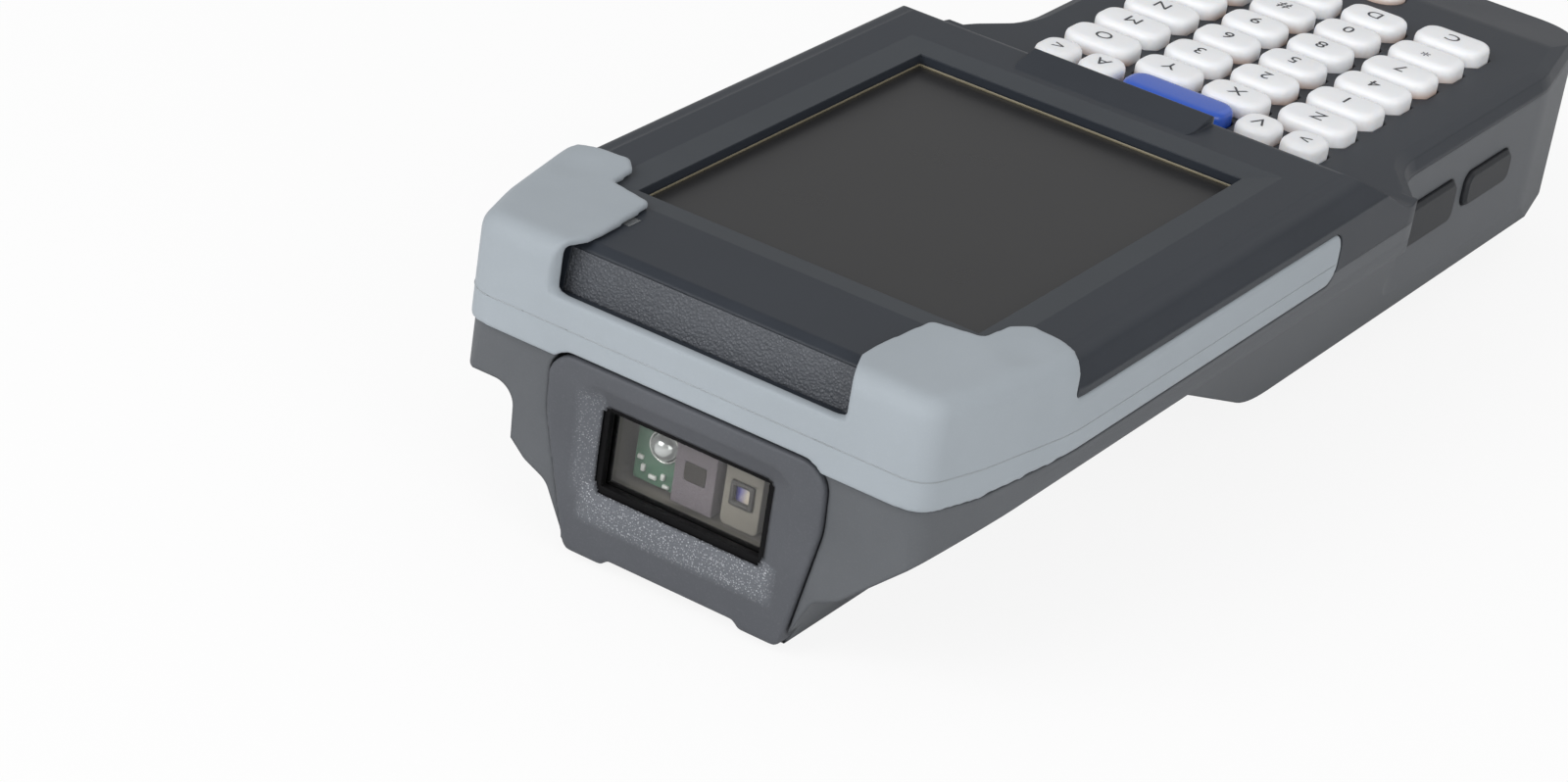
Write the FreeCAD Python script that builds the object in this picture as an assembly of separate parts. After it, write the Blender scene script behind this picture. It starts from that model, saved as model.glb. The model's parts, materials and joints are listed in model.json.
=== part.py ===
import FreeCAD, Part
import math
import os

# Portable barcode data terminal, lying on its back.
# Millimetres. +X is the user's left when the screen faces them, +Y runs from
# the scan window to the dock end, and +Z points out of the display.
# The origin is under the middle of the body, on the surface it lies on.

# Overall body
THICKNESS = 43.6
HEAD_WIDTH = 82.0
GRIP_WIDTH = 67.2
END_WIDTH = 56.0
FRONT_WIDTH = 68.0
TAIL_LENGTH = 12.5
PARTING_Z = 32.0
SEAM = 0.3
WALL = 2.4
ROOF = 2.0

# Plan of the head, measured back from the front face
BUMPER_PROUD_FRONT = 1.0
BUMPER_PROUD_SIDE = 0.25
FRONT_CORNER_R = 4.4
FLARE_MID_DEPTH = 10.0
FLARE_END_DEPTH = 27.0
FLARE_MID_SHARE = 0.50
SHOULDER_GAP = 19.6
SHOULDER_RUN = 10.0
TAIL_RUN = 26.0
SIDE_EDGE_FLAT = 6.2
SIDE_EDGE_RUN = 2.2
SIDE_EDGE_CROWN = 0.45
SIDE_EDGE_DROP = 4.0
DECK_EDGE_R = 2.6

# Scan face, leaning back towards the belly
SCAN_FACE_LEAN = 2.4
SCAN_FACE_FOOT_R = 4.0
BELLY_BOTTOM_WIDTH = 33.2
BELLY_WIDTH = 42.4
BELLY_HEIGHT = 9.6
WING_ROOT_WIDTH = 49.8
WING_ROOT_Z = 11.4
WING_Z = 25.8
CASE_INSET = 1.0
CASE_LIP_Z = 29.4
BELLY_END_DEPTH = 66.0
GRIP_BACK_Z = 7.0
GRIP_BACK_R = 11.0
BELLY_RISE_RUN = 26.0
RAMP_START_DEPTH = 62.0
RAMP_END_DEPTH = 102.0

# Stylus channel along the head's right flank
CHANNEL_TOP_Z = 21.6
CHANNEL_WALL_X = 27.3
CHANNEL_R = 3.2
CHANNEL_LENGTH = 88.0

# Display
SCREEN_W = 53.6
SCREEN_L = 71.3
SCREEN_DEPTH = 24.4
BORDER = 4.2
BORDER_DROP = 0.45
SCREEN_SEAL = 0.4
SCREEN_SEAL_W = 2.2
TOUCH_T = 1.2
TOUCH_MARGIN = 3.0
PANEL_T = 2.6
PANEL_MARGIN = 1.6
BOARD_T = 1.6

# Brow behind the display, and the keypad deck below it
BROW_GAP = 12.7
BROW_RUN = 15.5
DECK_DROP = 8.5
BAR_W = 30.0
BAR_L = 6.6
BAR_RISE = 1.3
BAR_R = 3.0
DECK_END_RUN = 16.0
TAIL_DROP = 2.4
END_PROUD = 0.2

# Front texture panel
RIDGE_DEPTH = 6.4
PANEL_TOP_DEPTH = 4.8
PANEL_FOOT_DEPTH = 3.8
PANEL_TOP_DROP = 1.0
PANEL_FOOT_DROP = 6.9
FRONT_PANEL_W = 46.2
FRONT_PANEL_T = 1.4

# Rubber bumper
STRIP_TOP_DROP = 6.0
STRIP_BOTTOM_DROP = 14.5
STRIP_SIDE_RISE = 1.0
STRIP_SIDE_FALL = 1.2
BUMPER_T = 2.0
STRIP_END_DEPTH = 102.0
CAP_RISE = 1.2
CAP_EDGE_R = 3.0
CAP_INNER_W = 43.0
CAP_FRONT_TONGUE_DEPTH = 20.2
CAP_NOTCH_X = 28.9
CAP_NOTCH_DEPTH = 21.7
CAP_SIDE_TONGUE_DEPTH = 29.4
CAP_SIDE_TONGUE_X = 30.6

# Scan bezel and window
BEZEL_TOP_DROP = 13.6
BEZEL_BOTTOM_DROP = 42.6
BEZEL_W = 43.2
BEZEL_SHOULDER_DROP = 23.0
BEZEL_FOOT_W = 34.6
BEZEL_FOOT_IN = 20.0
BEZEL_FOOT_STEP = 1.0
BEZEL_CORNER_R = 4.0
BEZEL_PROUD = 0.8
BEZEL_BACK_DEPTH = 5.4
WINDOW_W = 28.4
WINDOW_TOP_DROP = 18.4
WINDOW_BOTTOM_DROP = 32.8
WINDOW_FACE_DEPTH = 2.5
RECESS_SIDE = 4.6
RECESS_TOP = 1.9
RECESS_BOTTOM = 5.6
GASKET_W = 1.7
GLASS_FACE_DEPTH = 3.6
GLASS_T = 1.0
GLASS_LAP = 0.6
WINDOW_R = 1.0

# Imager behind the window
ENGINE_W = 31.0
ENGINE_H = 15.0
ENGINE_L = 11.0
ENGINE_WALL = 1.0
ENGINE_GAP = 0.4
ENGINE_FOOT_W = 16.0
BAY_FLOOR_Z = 6.5
BAY_END_DEPTH = 18.0
CASE_FLANK_WALL = 3.0
ENGINE_BOARD_T = 1.2
OPTIC_DROP = 26.0
OPTIC_H = 10.2
LAMP_X = -7.7
LAMP_W = 7.0
LAMP_L = 8.4
LAMP_CUP_R = 3.1
LAMP_CUP_DEEP = 4.0
LAMP_DOME_R = 1.4
LAMP_RISE = 1.4
AIMER_X = -0.9
AIMER_W = 6.4
AIMER_L = 10.0
APERTURE_W = 3.4
APERTURE_H = 2.8
APERTURE_DEEP = 2.4
CAMERA_X = 6.5
CAMERA_W = 5.8
CAMERA_L = 9.8
LENS_SIZE = 3.6
LENS_INSET = 0.5
LENS_T = 1.0
PIPE_X = 10.9
PIPE_PITCH = 1.9
PIPE_W = 1.4
PIPE_L = 8.8

# Keys
KEY_PITCH = 9.25
KEY_DEEP = 7.2
KEY_TALL = 2.5
KEY_ROWS = 6
KEY_FIRST_GAP = 25.5
WIDE_KEY_W = 11.7
WIDE_KEY_X = 18.65
MID_KEY_W = 10.2
MID_KEY_X = 5.8
MID_KEY_ADVANCE = 2.0
NAV_KEY_GAP = 16.2
NAV_KEY_W = 6.5
NAV_OUTER_X = 21.25
NAV_INNER_X = 13.6
SCAN_KEY_W = 17.6
SCAN_KEY_GAP = 15.8
SCAN_KEY_DEEP = 6.6
KEY_CUT = 1.5
KEY_BEVEL = 0.7
KEY_CLEARANCE = 0.15
KEY_FLANGE = 0.4
KEY_FLANGE_T = 0.7
KEY_FLANGE_GAP = 0.2
KEY_TRAVEL_GAP = 0.9
POWER_KEY_D = 8.0
POWER_KEY_STEP = 7.1
POWER_KEY_TALL = 1.25
MAT_T = 1.0
KEYBOARD_T = 1.0
KEY_FIELD_W = 56.0
KEY_FIELD_MARGIN = 3.0

# Battery in the back of the grip
BATTERY_W = 49.0
BATTERY_FRONT_GAP = 7.6
BATTERY_END_MARGIN = 7.0
BATTERY_TOP_Z = 24.4
BATTERY_CLEARANCE = 0.3
BATTERY_EDGE_R = 6.0
BATTERY_CORNER_R = 3.0
HEEL_LENGTH = 22.0
HEEL_RUN = 8.0
PAD_COUNT = 4
PAD_PITCH = 4.0
PAD_W = 2.4
PAD_L = 5.0
PAD_DEEP = 0.4
BATTERY_BACK_Z = 5.5
LATCH_W = 16.0
LATCH_L = 8.0
LATCH_T = 3.0
LATCH_CLEARANCE = 0.3
LATCH_TRAVEL = 2.0
LATCH_FRONT = 4.0

# Side controls on the grip
SCAN_BUTTON_L = 22.0
SCAN_BUTTON_H = 7.0
SCAN_BUTTON_GAP = 9.0
BUTTON_Z = 23.0
BUTTON_PROUD = 0.9
BUTTON_DEEP = 3.0
BUTTON_TRAVEL_GAP = 0.9
BUTTON_CLEARANCE = 0.2
ROCKER_L = 16.0
ROCKER_H = 5.6
ROCKER_GAP = 35.0

# Dock connector, speaker, screws, status window
DOCK_W = 26.0
DOCK_H = 5.6
DOCK_T = 4.4
DOCK_BOARD_GAP = 0.4
DOCK_RECESS = 1.0
DOCK_R = 1.5
DOCK_CONTACTS = 10
DOCK_CONTACT_W = 1.2
DOCK_CONTACT_H = 3.0
SPEAKER_D = 18.0
SPEAKER_T = 4.0
SPEAKER_DEPTH = 42.0
GRILLE_SLOTS = 5
GRILLE_PITCH = 3.0
GRILLE_SLOT_W = 1.2
SCREW_HEAD_D = 5.0
SCREW_HEAD_T = 2.0
SCREW_SHANK_D = 2.6
SCREW_SHANK_L = 4.0
SCREW_RECESS = 0.4
SCREW_X = 13.0
SCREW_DEPTHS = (24.0, 60.0)
STATUS_X = -21.6
STATUS_DEPTH = 15.0
STATUS_W = 2.0
STATUS_L = 2.8
STATUS_T = 1.2

# Places that follow from the sizes above
BROW_DEPTH = SCREEN_DEPTH + SCREEN_L + BROW_GAP
SHOULDER_DEPTH = BROW_DEPTH + SHOULDER_GAP
NAV_KEY_DEPTH = BROW_DEPTH + NAV_KEY_GAP
SCAN_KEY_DEPTH = BROW_DEPTH + SCAN_KEY_GAP
KEY_FIRST_DEPTH = BROW_DEPTH + KEY_FIRST_GAP
POWER_KEY_DEPTH = KEY_FIRST_DEPTH + KEY_ROWS * KEY_PITCH + POWER_KEY_STEP
KEY_FIELD_END_DEPTH = POWER_KEY_DEPTH + POWER_KEY_D / 2.0 + KEY_FIELD_MARGIN
LENGTH = KEY_FIELD_END_DEPTH + TAIL_LENGTH
BATTERY_FRONT_DEPTH = BROW_DEPTH + BATTERY_FRONT_GAP
BATTERY_END_DEPTH = LENGTH - BATTERY_END_MARGIN
FRONT_Y = -LENGTH / 2.0


def at(depth):
    """Row y of a place that lies so far behind the front face."""
    return FRONT_Y + depth


def drop(distance):
    """Row z of a place that lies so far below the top face."""
    return THICKNESS - distance


# Outline tools
def plan_point(a, b, level):
    return FreeCAD.Vector(a, b, level)


def front_point(a, b, level):
    return FreeCAD.Vector(a, level, b)


def side_point(a, b, level):
    return FreeCAD.Vector(level, a, b)


def outline(corners, place, level):
    """Closed wire through (a, b, radius) corners, each rounded by its radius."""
    edges = []
    stops = []
    count = len(corners)
    for index in range(count):
        before = corners[index - 1]
        here = corners[index]
        after = corners[(index + 1) % count]
        stops.append(rounded_corner(before, here, after))
    for index in range(count):
        start, middle, end = stops[index]
        if middle is not None:
            arc = Part.Arc(place(*start, level), place(*middle, level), place(*end, level))
            edges.append(arc.toShape())
        following = stops[(index + 1) % count][0]
        if math.dist(end, following) > 1e-6:
            edges.append(Part.makeLine(place(*end, level), place(*following, level)))
    return Part.Wire(Part.__sortEdges__(edges))


def rounded_corner(before, here, after):
    """Start, middle and end of the arc that rounds one corner."""
    radius = here[2]
    corner = (here[0], here[1])
    if radius <= 0.0:
        return corner, None, corner
    into = (before[0] - here[0], before[1] - here[1])
    out = (after[0] - here[0], after[1] - here[1])
    into_len = math.hypot(*into)
    out_len = math.hypot(*out)
    into = (into[0] / into_len, into[1] / into_len)
    out = (out[0] / out_len, out[1] / out_len)
    cosine = max(-1.0, min(1.0, into[0] * out[0] + into[1] * out[1]))
    half = math.acos(cosine) / 2.0
    run = min(radius / math.tan(half), 0.49 * into_len, 0.49 * out_len)
    radius = run * math.tan(half)
    bisector = (into[0] + out[0], into[1] + out[1])
    size = math.hypot(*bisector)
    if size < 1e-6:
        return corner, None, corner
    reach = radius / math.sin(half)
    centre = (here[0] + bisector[0] / size * reach, here[1] + bisector[1] / size * reach)
    middle = (centre[0] - bisector[0] / size * radius, centre[1] - bisector[1] / size * radius)
    start = (here[0] + into[0] * run, here[1] + into[1] * run)
    end = (here[0] + out[0] * run, here[1] + out[1] * run)
    return start, middle, end


def mirrored(half):
    """Whole outline from its +X half, listed from the front to the back."""
    return half + [(-a, b, r) for a, b, r in reversed(half)]


def plan_prism(corners, low, high):
    face = Part.Face(outline(corners, plan_point, low))
    return face.extrude(FreeCAD.Vector(0, 0, high - low))


def front_prism(corners, near, far):
    face = Part.Face(outline(corners, front_point, near))
    return face.extrude(FreeCAD.Vector(0, far - near, 0))


def side_prism(corners, low, high):
    face = Part.Face(outline(corners, side_point, low))
    return face.extrude(FreeCAD.Vector(high - low, 0, 0))


def block(x0, x1, y0, y1, z0, z1):
    corner = FreeCAD.Vector(min(x0, x1), min(y0, y1), min(z0, z1))
    return Part.makeBox(abs(x1 - x0), abs(y1 - y0), abs(z1 - z0), corner)


def slab(width, y0, y1, z0, z1, radius=0.0):
    """Block centred on X with rounded vertical edges."""
    half = width / 2.0
    corners = [(half, y0, radius), (half, y1, radius), (-half, y1, radius), (-half, y0, radius)]
    return plan_prism(corners, z0, z1)


def window_block(width, z0, z1, y0, y1, radius, centre_x=0.0):
    """Block whose rounded edges run along Y."""
    low = centre_x - width / 2.0
    high = centre_x + width / 2.0
    corners = [(low, z0, radius), (high, z0, radius), (high, z1, radius), (low, z1, radius)]
    return front_prism(corners, y0, y1)


# Plan outlines
def head_plan(front_inset, side_inset):
    """Outline of the bumper in plan, drawn in by the two insets."""
    front = FRONT_WIDTH / 2.0 + 1.4 - side_inset
    side = HEAD_WIDTH / 2.0 + BUMPER_PROUD_SIDE - side_inset
    middle = front + (side - front) * FLARE_MID_SHARE
    grip = GRIP_WIDTH / 2.0 + BUMPER_PROUD_SIDE - side_inset
    tail = END_WIDTH / 2.0 + BUMPER_PROUD_SIDE - side_inset
    return mirrored([
        (front, at(front_inset), FRONT_CORNER_R),
        (middle, at(FLARE_MID_DEPTH), 30.0),
        (side, at(FLARE_END_DEPTH), 40.0),
        (side, at(SHOULDER_DEPTH), 10.0),
        (grip, at(SHOULDER_DEPTH + SHOULDER_RUN), 14.0),
        (grip, at(LENGTH - TAIL_RUN), 20.0),
        (tail, at(LENGTH - END_PROUD), 10.0),
    ])


def case_plan():
    return head_plan(BUMPER_PROUD_FRONT, BUMPER_PROUD_SIDE)


# Casing blanks
def upper_profile():
    """Side view of the top cover: scan end, display face, brow, deck, tail."""
    deck = drop(DECK_DROP)
    return [
        (at(PANEL_FOOT_DEPTH), drop(PANEL_FOOT_DROP), 0.0),
        (at(PANEL_TOP_DEPTH), drop(PANEL_TOP_DROP), 0.0),
        (at(RIDGE_DEPTH), drop(0.0), 0.8),
        (at(BROW_DEPTH), drop(0.0), 3.0),
        (at(BROW_DEPTH + BROW_RUN), deck, 8.0),
        (at(LENGTH - DECK_END_RUN), deck, 12.0),
        (at(LENGTH), deck - TAIL_DROP, 0.0),
        (at(LENGTH), PARTING_Z - 12.0, 0.0),
        (at(0.0), PARTING_Z - 12.0, 0.0),
        (at(0.0), drop(PANEL_FOOT_DROP), 0.0),
    ]


def top_blank():
    """Top cover before its openings: side view and plan, edges eased."""
    deck = drop(DECK_DROP)
    low = plan_prism(case_plan(), PARTING_Z, deck - DECK_EDGE_R)
    head = plan_prism(case_plan(), PARTING_Z, drop(-BAR_RISE))
    head = head.common(block(-HEAD_WIDTH, HEAD_WIDTH, at(-1.0), at(SHOULDER_DEPTH), 0.0, THICKNESS * 2.0))
    side = side_prism(upper_profile(), -HEAD_WIDTH, HEAD_WIDTH)
    return low.multiFuse([deck_edge(), head]).common(side).cut(edge_ease())


def deck_edge():
    """Upper part of the body under the deck, its edges eased in two steps."""
    deck = drop(DECK_DROP)
    rings = []
    for inset, below in ((0.0, DECK_EDGE_R), (DECK_EDGE_R * 0.3, DECK_EDGE_R * 0.3), (DECK_EDGE_R, 0.0)):
        corners = head_plan(BUMPER_PROUD_FRONT + inset, BUMPER_PROUD_SIDE + inset)
        rings.append(outline(corners, plan_point, deck - below))
    return Part.makeLoft(rings, True, True)


def edge_ease():
    """Tool that eases the display face's long edges over the side walls."""
    half = HEAD_WIDTH / 2.0
    tools = []
    for sign in (-1.0, 1.0):
        corners = [
            (sign * (half - SIDE_EDGE_FLAT), drop(0.0), 8.0),
            (sign * (half - SIDE_EDGE_RUN), drop(SIDE_EDGE_CROWN), 2.5),
            (sign * half, drop(SIDE_EDGE_DROP), 1.0),
            (sign * (half + 6.0), drop(SIDE_EDGE_DROP), 0.0),
            (sign * (half + 6.0), drop(-6.0), 0.0),
            (sign * (half - SIDE_EDGE_FLAT), drop(-6.0), 0.0),
        ]
        tools.append(front_prism(corners, at(-2.0), at(SHOULDER_DEPTH)))
    return Part.Compound(tools)


def head_section():
    """Front view of the lower case under the head, wings over a belly."""
    half = HEAD_WIDTH / 2.0
    flank = half - CASE_INSET
    return mirrored([
        (BELLY_BOTTOM_WIDTH / 2.0, 0.0, 1.2),
        (BELLY_WIDTH / 2.0, BELLY_HEIGHT, 3.0),
        (WING_ROOT_WIDTH / 2.0, WING_ROOT_Z, 3.0),
        (flank, WING_Z, 4.0),
        (flank, CASE_LIP_Z - CASE_INSET, 0.0),
        (half, CASE_LIP_Z, 0.0),
        (half, PARTING_Z, 0.0),
    ])


def grip_section():
    half = GRIP_WIDTH / 2.0 + 4.0
    return mirrored([
        (GRIP_WIDTH / 2.0 - 4.0, 0.0, GRIP_BACK_R),
        (half, PARTING_Z - 8.0, 6.0),
        (half, PARTING_Z, 0.0),
    ])


def grip_ramp():
    """Side view of the grip, its front sloping down from the wings."""
    return side_prism([
        (at(RAMP_START_DEPTH), PARTING_Z, 0.0),
        (at(RAMP_START_DEPTH), WING_Z, 8.0),
        (at(RAMP_END_DEPTH), GRIP_BACK_Z, 30.0),
        (at(LENGTH), GRIP_BACK_Z, 0.0),
        (at(LENGTH), PARTING_Z, 0.0),
    ], -HEAD_WIDTH, HEAD_WIDTH)


def lower_profile():
    """Side view of the lower case: leaning scan face, belly, raised back."""
    return [
        (at(BUMPER_PROUD_FRONT), PARTING_Z, 0.0),
        (at(BUMPER_PROUD_FRONT), drop(STRIP_BOTTOM_DROP), 0.0),
        (at(BUMPER_PROUD_FRONT + SCAN_FACE_LEAN), 0.0, SCAN_FACE_FOOT_R),
        (at(BELLY_END_DEPTH), 0.0, 20.0),
        (at(BELLY_END_DEPTH + BELLY_RISE_RUN), GRIP_BACK_Z, 20.0),
        (at(LENGTH - END_PROUD), GRIP_BACK_Z, 6.0),
        (at(LENGTH - END_PROUD), PARTING_Z, 0.0),
    ]


def lower_blank():
    """Lower case before its openings: plan, side view and two sections."""
    plan = plan_prism(case_plan(), 0.0, PARTING_Z)
    side = side_prism(lower_profile(), -HEAD_WIDTH, HEAD_WIDTH)
    head = front_prism(head_section(), at(0.0), at(SHOULDER_DEPTH + SHOULDER_RUN))
    grip = front_prism(grip_section(), at(RAMP_START_DEPTH), at(LENGTH)).common(grip_ramp())
    return plan.common(side).common(head.fuse(grip)).cut(stylus_channel())


def stylus_channel():
    """Open channel along one flank, with a rounded inner top corner."""
    corners = [
        (-CHANNEL_WALL_X, -1.0, 0.0),
        (-CHANNEL_WALL_X, CHANNEL_TOP_Z, CHANNEL_R),
        (-HEAD_WIDTH, CHANNEL_TOP_Z, 0.0),
        (-HEAD_WIDTH, -1.0, 0.0),
    ]
    return front_prism(corners, at(-1.0), at(CHANNEL_LENGTH))


# Rubber bumper
def bumper_shape():
    """Band round the head with two raised corner caps and their tongues."""
    outer = plan_prism(head_plan(0.0, 0.0), drop(STRIP_BOTTOM_DROP), drop(-CAP_RISE))
    top_edges = [e for e in outer.Edges if e.BoundBox.ZMin > drop(-CAP_RISE) - 0.01]
    outer = outer.makeFillet(CAP_EDGE_R, top_edges)
    core = plan_prism(head_plan(BUMPER_T, BUMPER_T), 0.0, drop(0.0))
    keep = Part.Compound([band_mask(), cap_mask(1.0), cap_mask(-1.0)])
    shape = outer.common(keep.Solids[0].multiFuse(keep.Solids[1:]))
    shape = shape.cut(core).cut(bezel_envelope())
    return largest(shape)


def band_mask():
    """Region of the band: a straight front strip and narrower side strips."""
    side_top = drop(STRIP_TOP_DROP - STRIP_SIDE_RISE)
    corners = [
        (at(-1.0), drop(STRIP_BOTTOM_DROP), 0.0),
        (at(-1.0), drop(STRIP_TOP_DROP), 0.0),
        (at(FLARE_MID_DEPTH), drop(STRIP_TOP_DROP), 0.0),
        (at(FLARE_END_DEPTH), side_top, 0.0),
        (at(STRIP_END_DEPTH), side_top, 3.0),
        (at(STRIP_END_DEPTH), drop(STRIP_BOTTOM_DROP - STRIP_SIDE_FALL), 3.0),
        (at(FLARE_END_DEPTH), drop(STRIP_BOTTOM_DROP - STRIP_SIDE_FALL), 20.0),
        (at(FLARE_MID_DEPTH), drop(STRIP_BOTTOM_DROP), 20.0),
    ]
    return side_prism(corners, -HEAD_WIDTH, HEAD_WIDTH)


def cap_mask(sign):
    """Plan region of one corner cap, with its two tongues and the notch."""
    out = HEAD_WIDTH / 2.0 + 5.0
    corners = [
        (sign * CAP_INNER_W / 2.0, at(-5.0), 0.0),
        (sign * (CAP_INNER_W / 2.0 - 0.8), at(CAP_FRONT_TONGUE_DEPTH - 12.0), 0.0),
        (sign * (CAP_INNER_W / 2.0 + 0.4), at(CAP_FRONT_TONGUE_DEPTH), 1.2),
        (sign * CAP_NOTCH_X, at(CAP_NOTCH_DEPTH), 0.8),
        (sign * (CAP_NOTCH_X + 0.6), at(CAP_SIDE_TONGUE_DEPTH - 2.6), 1.5),
        (sign * (CAP_SIDE_TONGUE_X + 1.0), at(CAP_SIDE_TONGUE_DEPTH), 1.5),
        (sign * (CAP_SIDE_TONGUE_X + 6.0), at(CAP_SIDE_TONGUE_DEPTH - 0.6), 3.0),
        (sign * out, at(CAP_SIDE_TONGUE_DEPTH - 5.0), 0.0),
        (sign * out, at(-5.0), 0.0),
    ]
    return plan_prism(corners, drop(STRIP_BOTTOM_DROP - 4.0), drop(-CAP_RISE - 1.0))


# Display group
def screen_block(margin, z0, z1, radius=0.0):
    y0 = at(SCREEN_DEPTH) - margin
    y1 = at(SCREEN_DEPTH) + SCREEN_L + margin
    return slab(SCREEN_W + 2.0 * margin, y0, y1, z0, z1, radius)


def screen_border_cut():
    """Shallow slope round the display opening, from its outer edge inwards."""
    outer = outline(screen_corners(BORDER, 0.0), plan_point, drop(0.0))
    inner = outline(screen_corners(0.0, 0.0), plan_point, drop(BORDER_DROP))
    return Part.makeLoft([outer, inner], True, True)


def screen_corners(margin, radius):
    half = SCREEN_W / 2.0 + margin
    y0 = at(SCREEN_DEPTH) - margin
    y1 = at(SCREEN_DEPTH) + SCREEN_L + margin
    return [(half, y0, radius), (half, y1, radius), (-half, y1, radius), (-half, y0, radius)]


def touch_top():
    return drop(ROOF + SCREEN_SEAL)


def display_seal():
    low = touch_top()
    ring = screen_block(SCREEN_SEAL_W, low, low + SCREEN_SEAL)
    return ring.cut(screen_block(0.0, low - 1.0, low + 1.0))


def touch_screen():
    return screen_block(TOUCH_MARGIN, touch_top() - TOUCH_T, touch_top())


def display_panel():
    high = touch_top() - TOUCH_T
    return screen_block(PANEL_MARGIN, high - PANEL_T, high)


def display_back():
    return touch_top() - TOUCH_T - PANEL_T


# Keypad
def keypad_keys():
    """Every key as (name, centre x, front depth, width, length)."""
    keys = [
        ("key_nav_outer_left", NAV_OUTER_X, NAV_KEY_DEPTH, NAV_KEY_W, KEY_DEEP),
        ("key_nav_inner_left", NAV_INNER_X, NAV_KEY_DEPTH, NAV_KEY_W, KEY_DEEP),
        ("key_scan", 0.0, SCAN_KEY_DEPTH, SCAN_KEY_W, SCAN_KEY_DEEP),
        ("key_nav_inner_right", -NAV_INNER_X, NAV_KEY_DEPTH, NAV_KEY_W, KEY_DEEP),
        ("key_nav_outer_right", -NAV_OUTER_X, NAV_KEY_DEPTH, NAV_KEY_W, KEY_DEEP),
    ]
    columns = (
        ("a", -WIDE_KEY_X, WIDE_KEY_W, 0.0),
        ("b", -MID_KEY_X, MID_KEY_W, MID_KEY_ADVANCE),
        ("c", MID_KEY_X, MID_KEY_W, MID_KEY_ADVANCE),
        ("d", WIDE_KEY_X, WIDE_KEY_W, 0.0),
    )
    for row in range(KEY_ROWS):
        front = KEY_FIRST_DEPTH + row * KEY_PITCH
        for letter, centre, width, advance in columns:
            keys.append((f"key_{letter}{row + 1}", centre, front - advance, width, KEY_DEEP))
    return keys


def key_corners(centre, front, width, length, margin):
    """Key outline with its four corners cut off, grown by a margin."""
    half = width / 2.0 + margin
    cut = KEY_CUT + margin * (2.0 - math.sqrt(2.0))
    y0 = at(front) - margin
    y1 = at(front) + length + margin
    corners = [(half - cut, y0), (half, y0 + cut), (half, y1 - cut), (half - cut, y1)]
    corners += [(-a, b) for a, b in reversed(corners)]
    return [(centre + a, b, 0.0) for a, b in corners]


def flange_top():
    return drop(DECK_DROP) - ROOF - KEY_FLANGE_GAP


def mat_top():
    return flange_top() - KEY_FLANGE_T - KEY_TRAVEL_GAP


def key_shape(centre, front, width, length):
    """Bevelled cap through the deck, with a catching flange below."""
    top = drop(DECK_DROP) + KEY_TALL
    stem = plan_prism(key_corners(centre, front, width, length, 0.0), flange_top(), top)
    rim = [e for e in stem.Edges if e.BoundBox.ZMin > top - 0.01]
    stem = stem.makeChamfer(KEY_BEVEL, rim)
    flange = plan_prism(key_corners(centre, front, width, length, KEY_FLANGE), flange_top() - KEY_FLANGE_T, flange_top())
    return stem.fuse(flange).removeSplitter()


def power_key():
    """Round power key at the foot of the keypad."""
    low = flange_top() - KEY_FLANGE_T
    radius = POWER_KEY_D / 2.0
    flange = Part.makeCylinder(radius + KEY_FLANGE, KEY_FLANGE_T, FreeCAD.Vector(0, at(POWER_KEY_DEPTH), low))
    high = drop(DECK_DROP) + POWER_KEY_TALL
    stem = Part.makeCylinder(radius, high - low, FreeCAD.Vector(0, at(POWER_KEY_DEPTH), low))
    return stem.fuse(flange).removeSplitter()


def key_holes():
    """Openings in the deck, each the key's outline plus its clearance."""
    low = PARTING_Z - 1.0
    high = drop(DECK_DROP) + KEY_TALL
    holes = []
    for _, centre, front, width, length in keypad_keys():
        holes.append(plan_prism(key_corners(centre, front, width, length, KEY_CLEARANCE), low, high))
    base = FreeCAD.Vector(0, at(POWER_KEY_DEPTH), low)
    holes.append(Part.makeCylinder(POWER_KEY_D / 2.0 + KEY_CLEARANCE, high - low, base))
    return Part.Compound(holes)


def key_field(margin, z0, z1):
    y0 = at(NAV_KEY_DEPTH) - KEY_FIELD_MARGIN - margin
    y1 = at(KEY_FIELD_END_DEPTH) + margin
    return slab(KEY_FIELD_W + 2.0 * margin, y0, y1, z0, z1)


def keypad_mat():
    return key_field(0.0, mat_top() - MAT_T, mat_top())


def keypad_board():
    high = mat_top() - MAT_T
    return key_field(0.0, high - KEYBOARD_T, high)


# Casings
def front_panel_shape():
    """Textured strip let into the scan end of the top cover."""
    foot = (at(PANEL_FOOT_DEPTH), drop(PANEL_FOOT_DROP))
    head = (at(PANEL_TOP_DEPTH), drop(PANEL_TOP_DROP))
    corners = [
        (foot[0], foot[1], 0.0),
        (foot[0] + FRONT_PANEL_T, foot[1], 0.0),
        (head[0] + FRONT_PANEL_T, head[1], 0.0),
        (head[0], head[1], 0.0),
    ]
    half = FRONT_PANEL_W / 2.0
    return side_prism(corners, -half, half).cut(bumper_envelope())


def logo_bar():
    """Raised bare bar along the brow, in line with the keypad."""
    y1 = at(BROW_DEPTH) - 0.4
    y0 = y1 - BAR_L
    half = BAR_W / 2.0
    corners = [
        (y0, drop(0.4), 0.0),
        (y0, drop(0.0), 3.0),
        (y1, drop(-BAR_RISE), 0.6),
        (y1 + 2.0, drop(0.0), 0.0),
        (y1 + 2.0, drop(ROOF), 0.0),
        (y0 + 2.0, drop(ROOF), 0.0),
    ]
    bar = side_prism(corners, -half, half)
    return bar.common(slab(BAR_W, y0 - 1.0, y1 + 3.0, drop(ROOF), drop(-BAR_RISE - 1.0), BAR_R))


def top_cavity():
    """Room under the roof for the display stack and the keypad."""
    display = screen_block(TOUCH_MARGIN + 2.6, PARTING_Z - 1.0, drop(ROOF))
    keypad = key_field(0.8, PARTING_Z - 1.0, drop(DECK_DROP + ROOF))
    return display.fuse(keypad)


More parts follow.
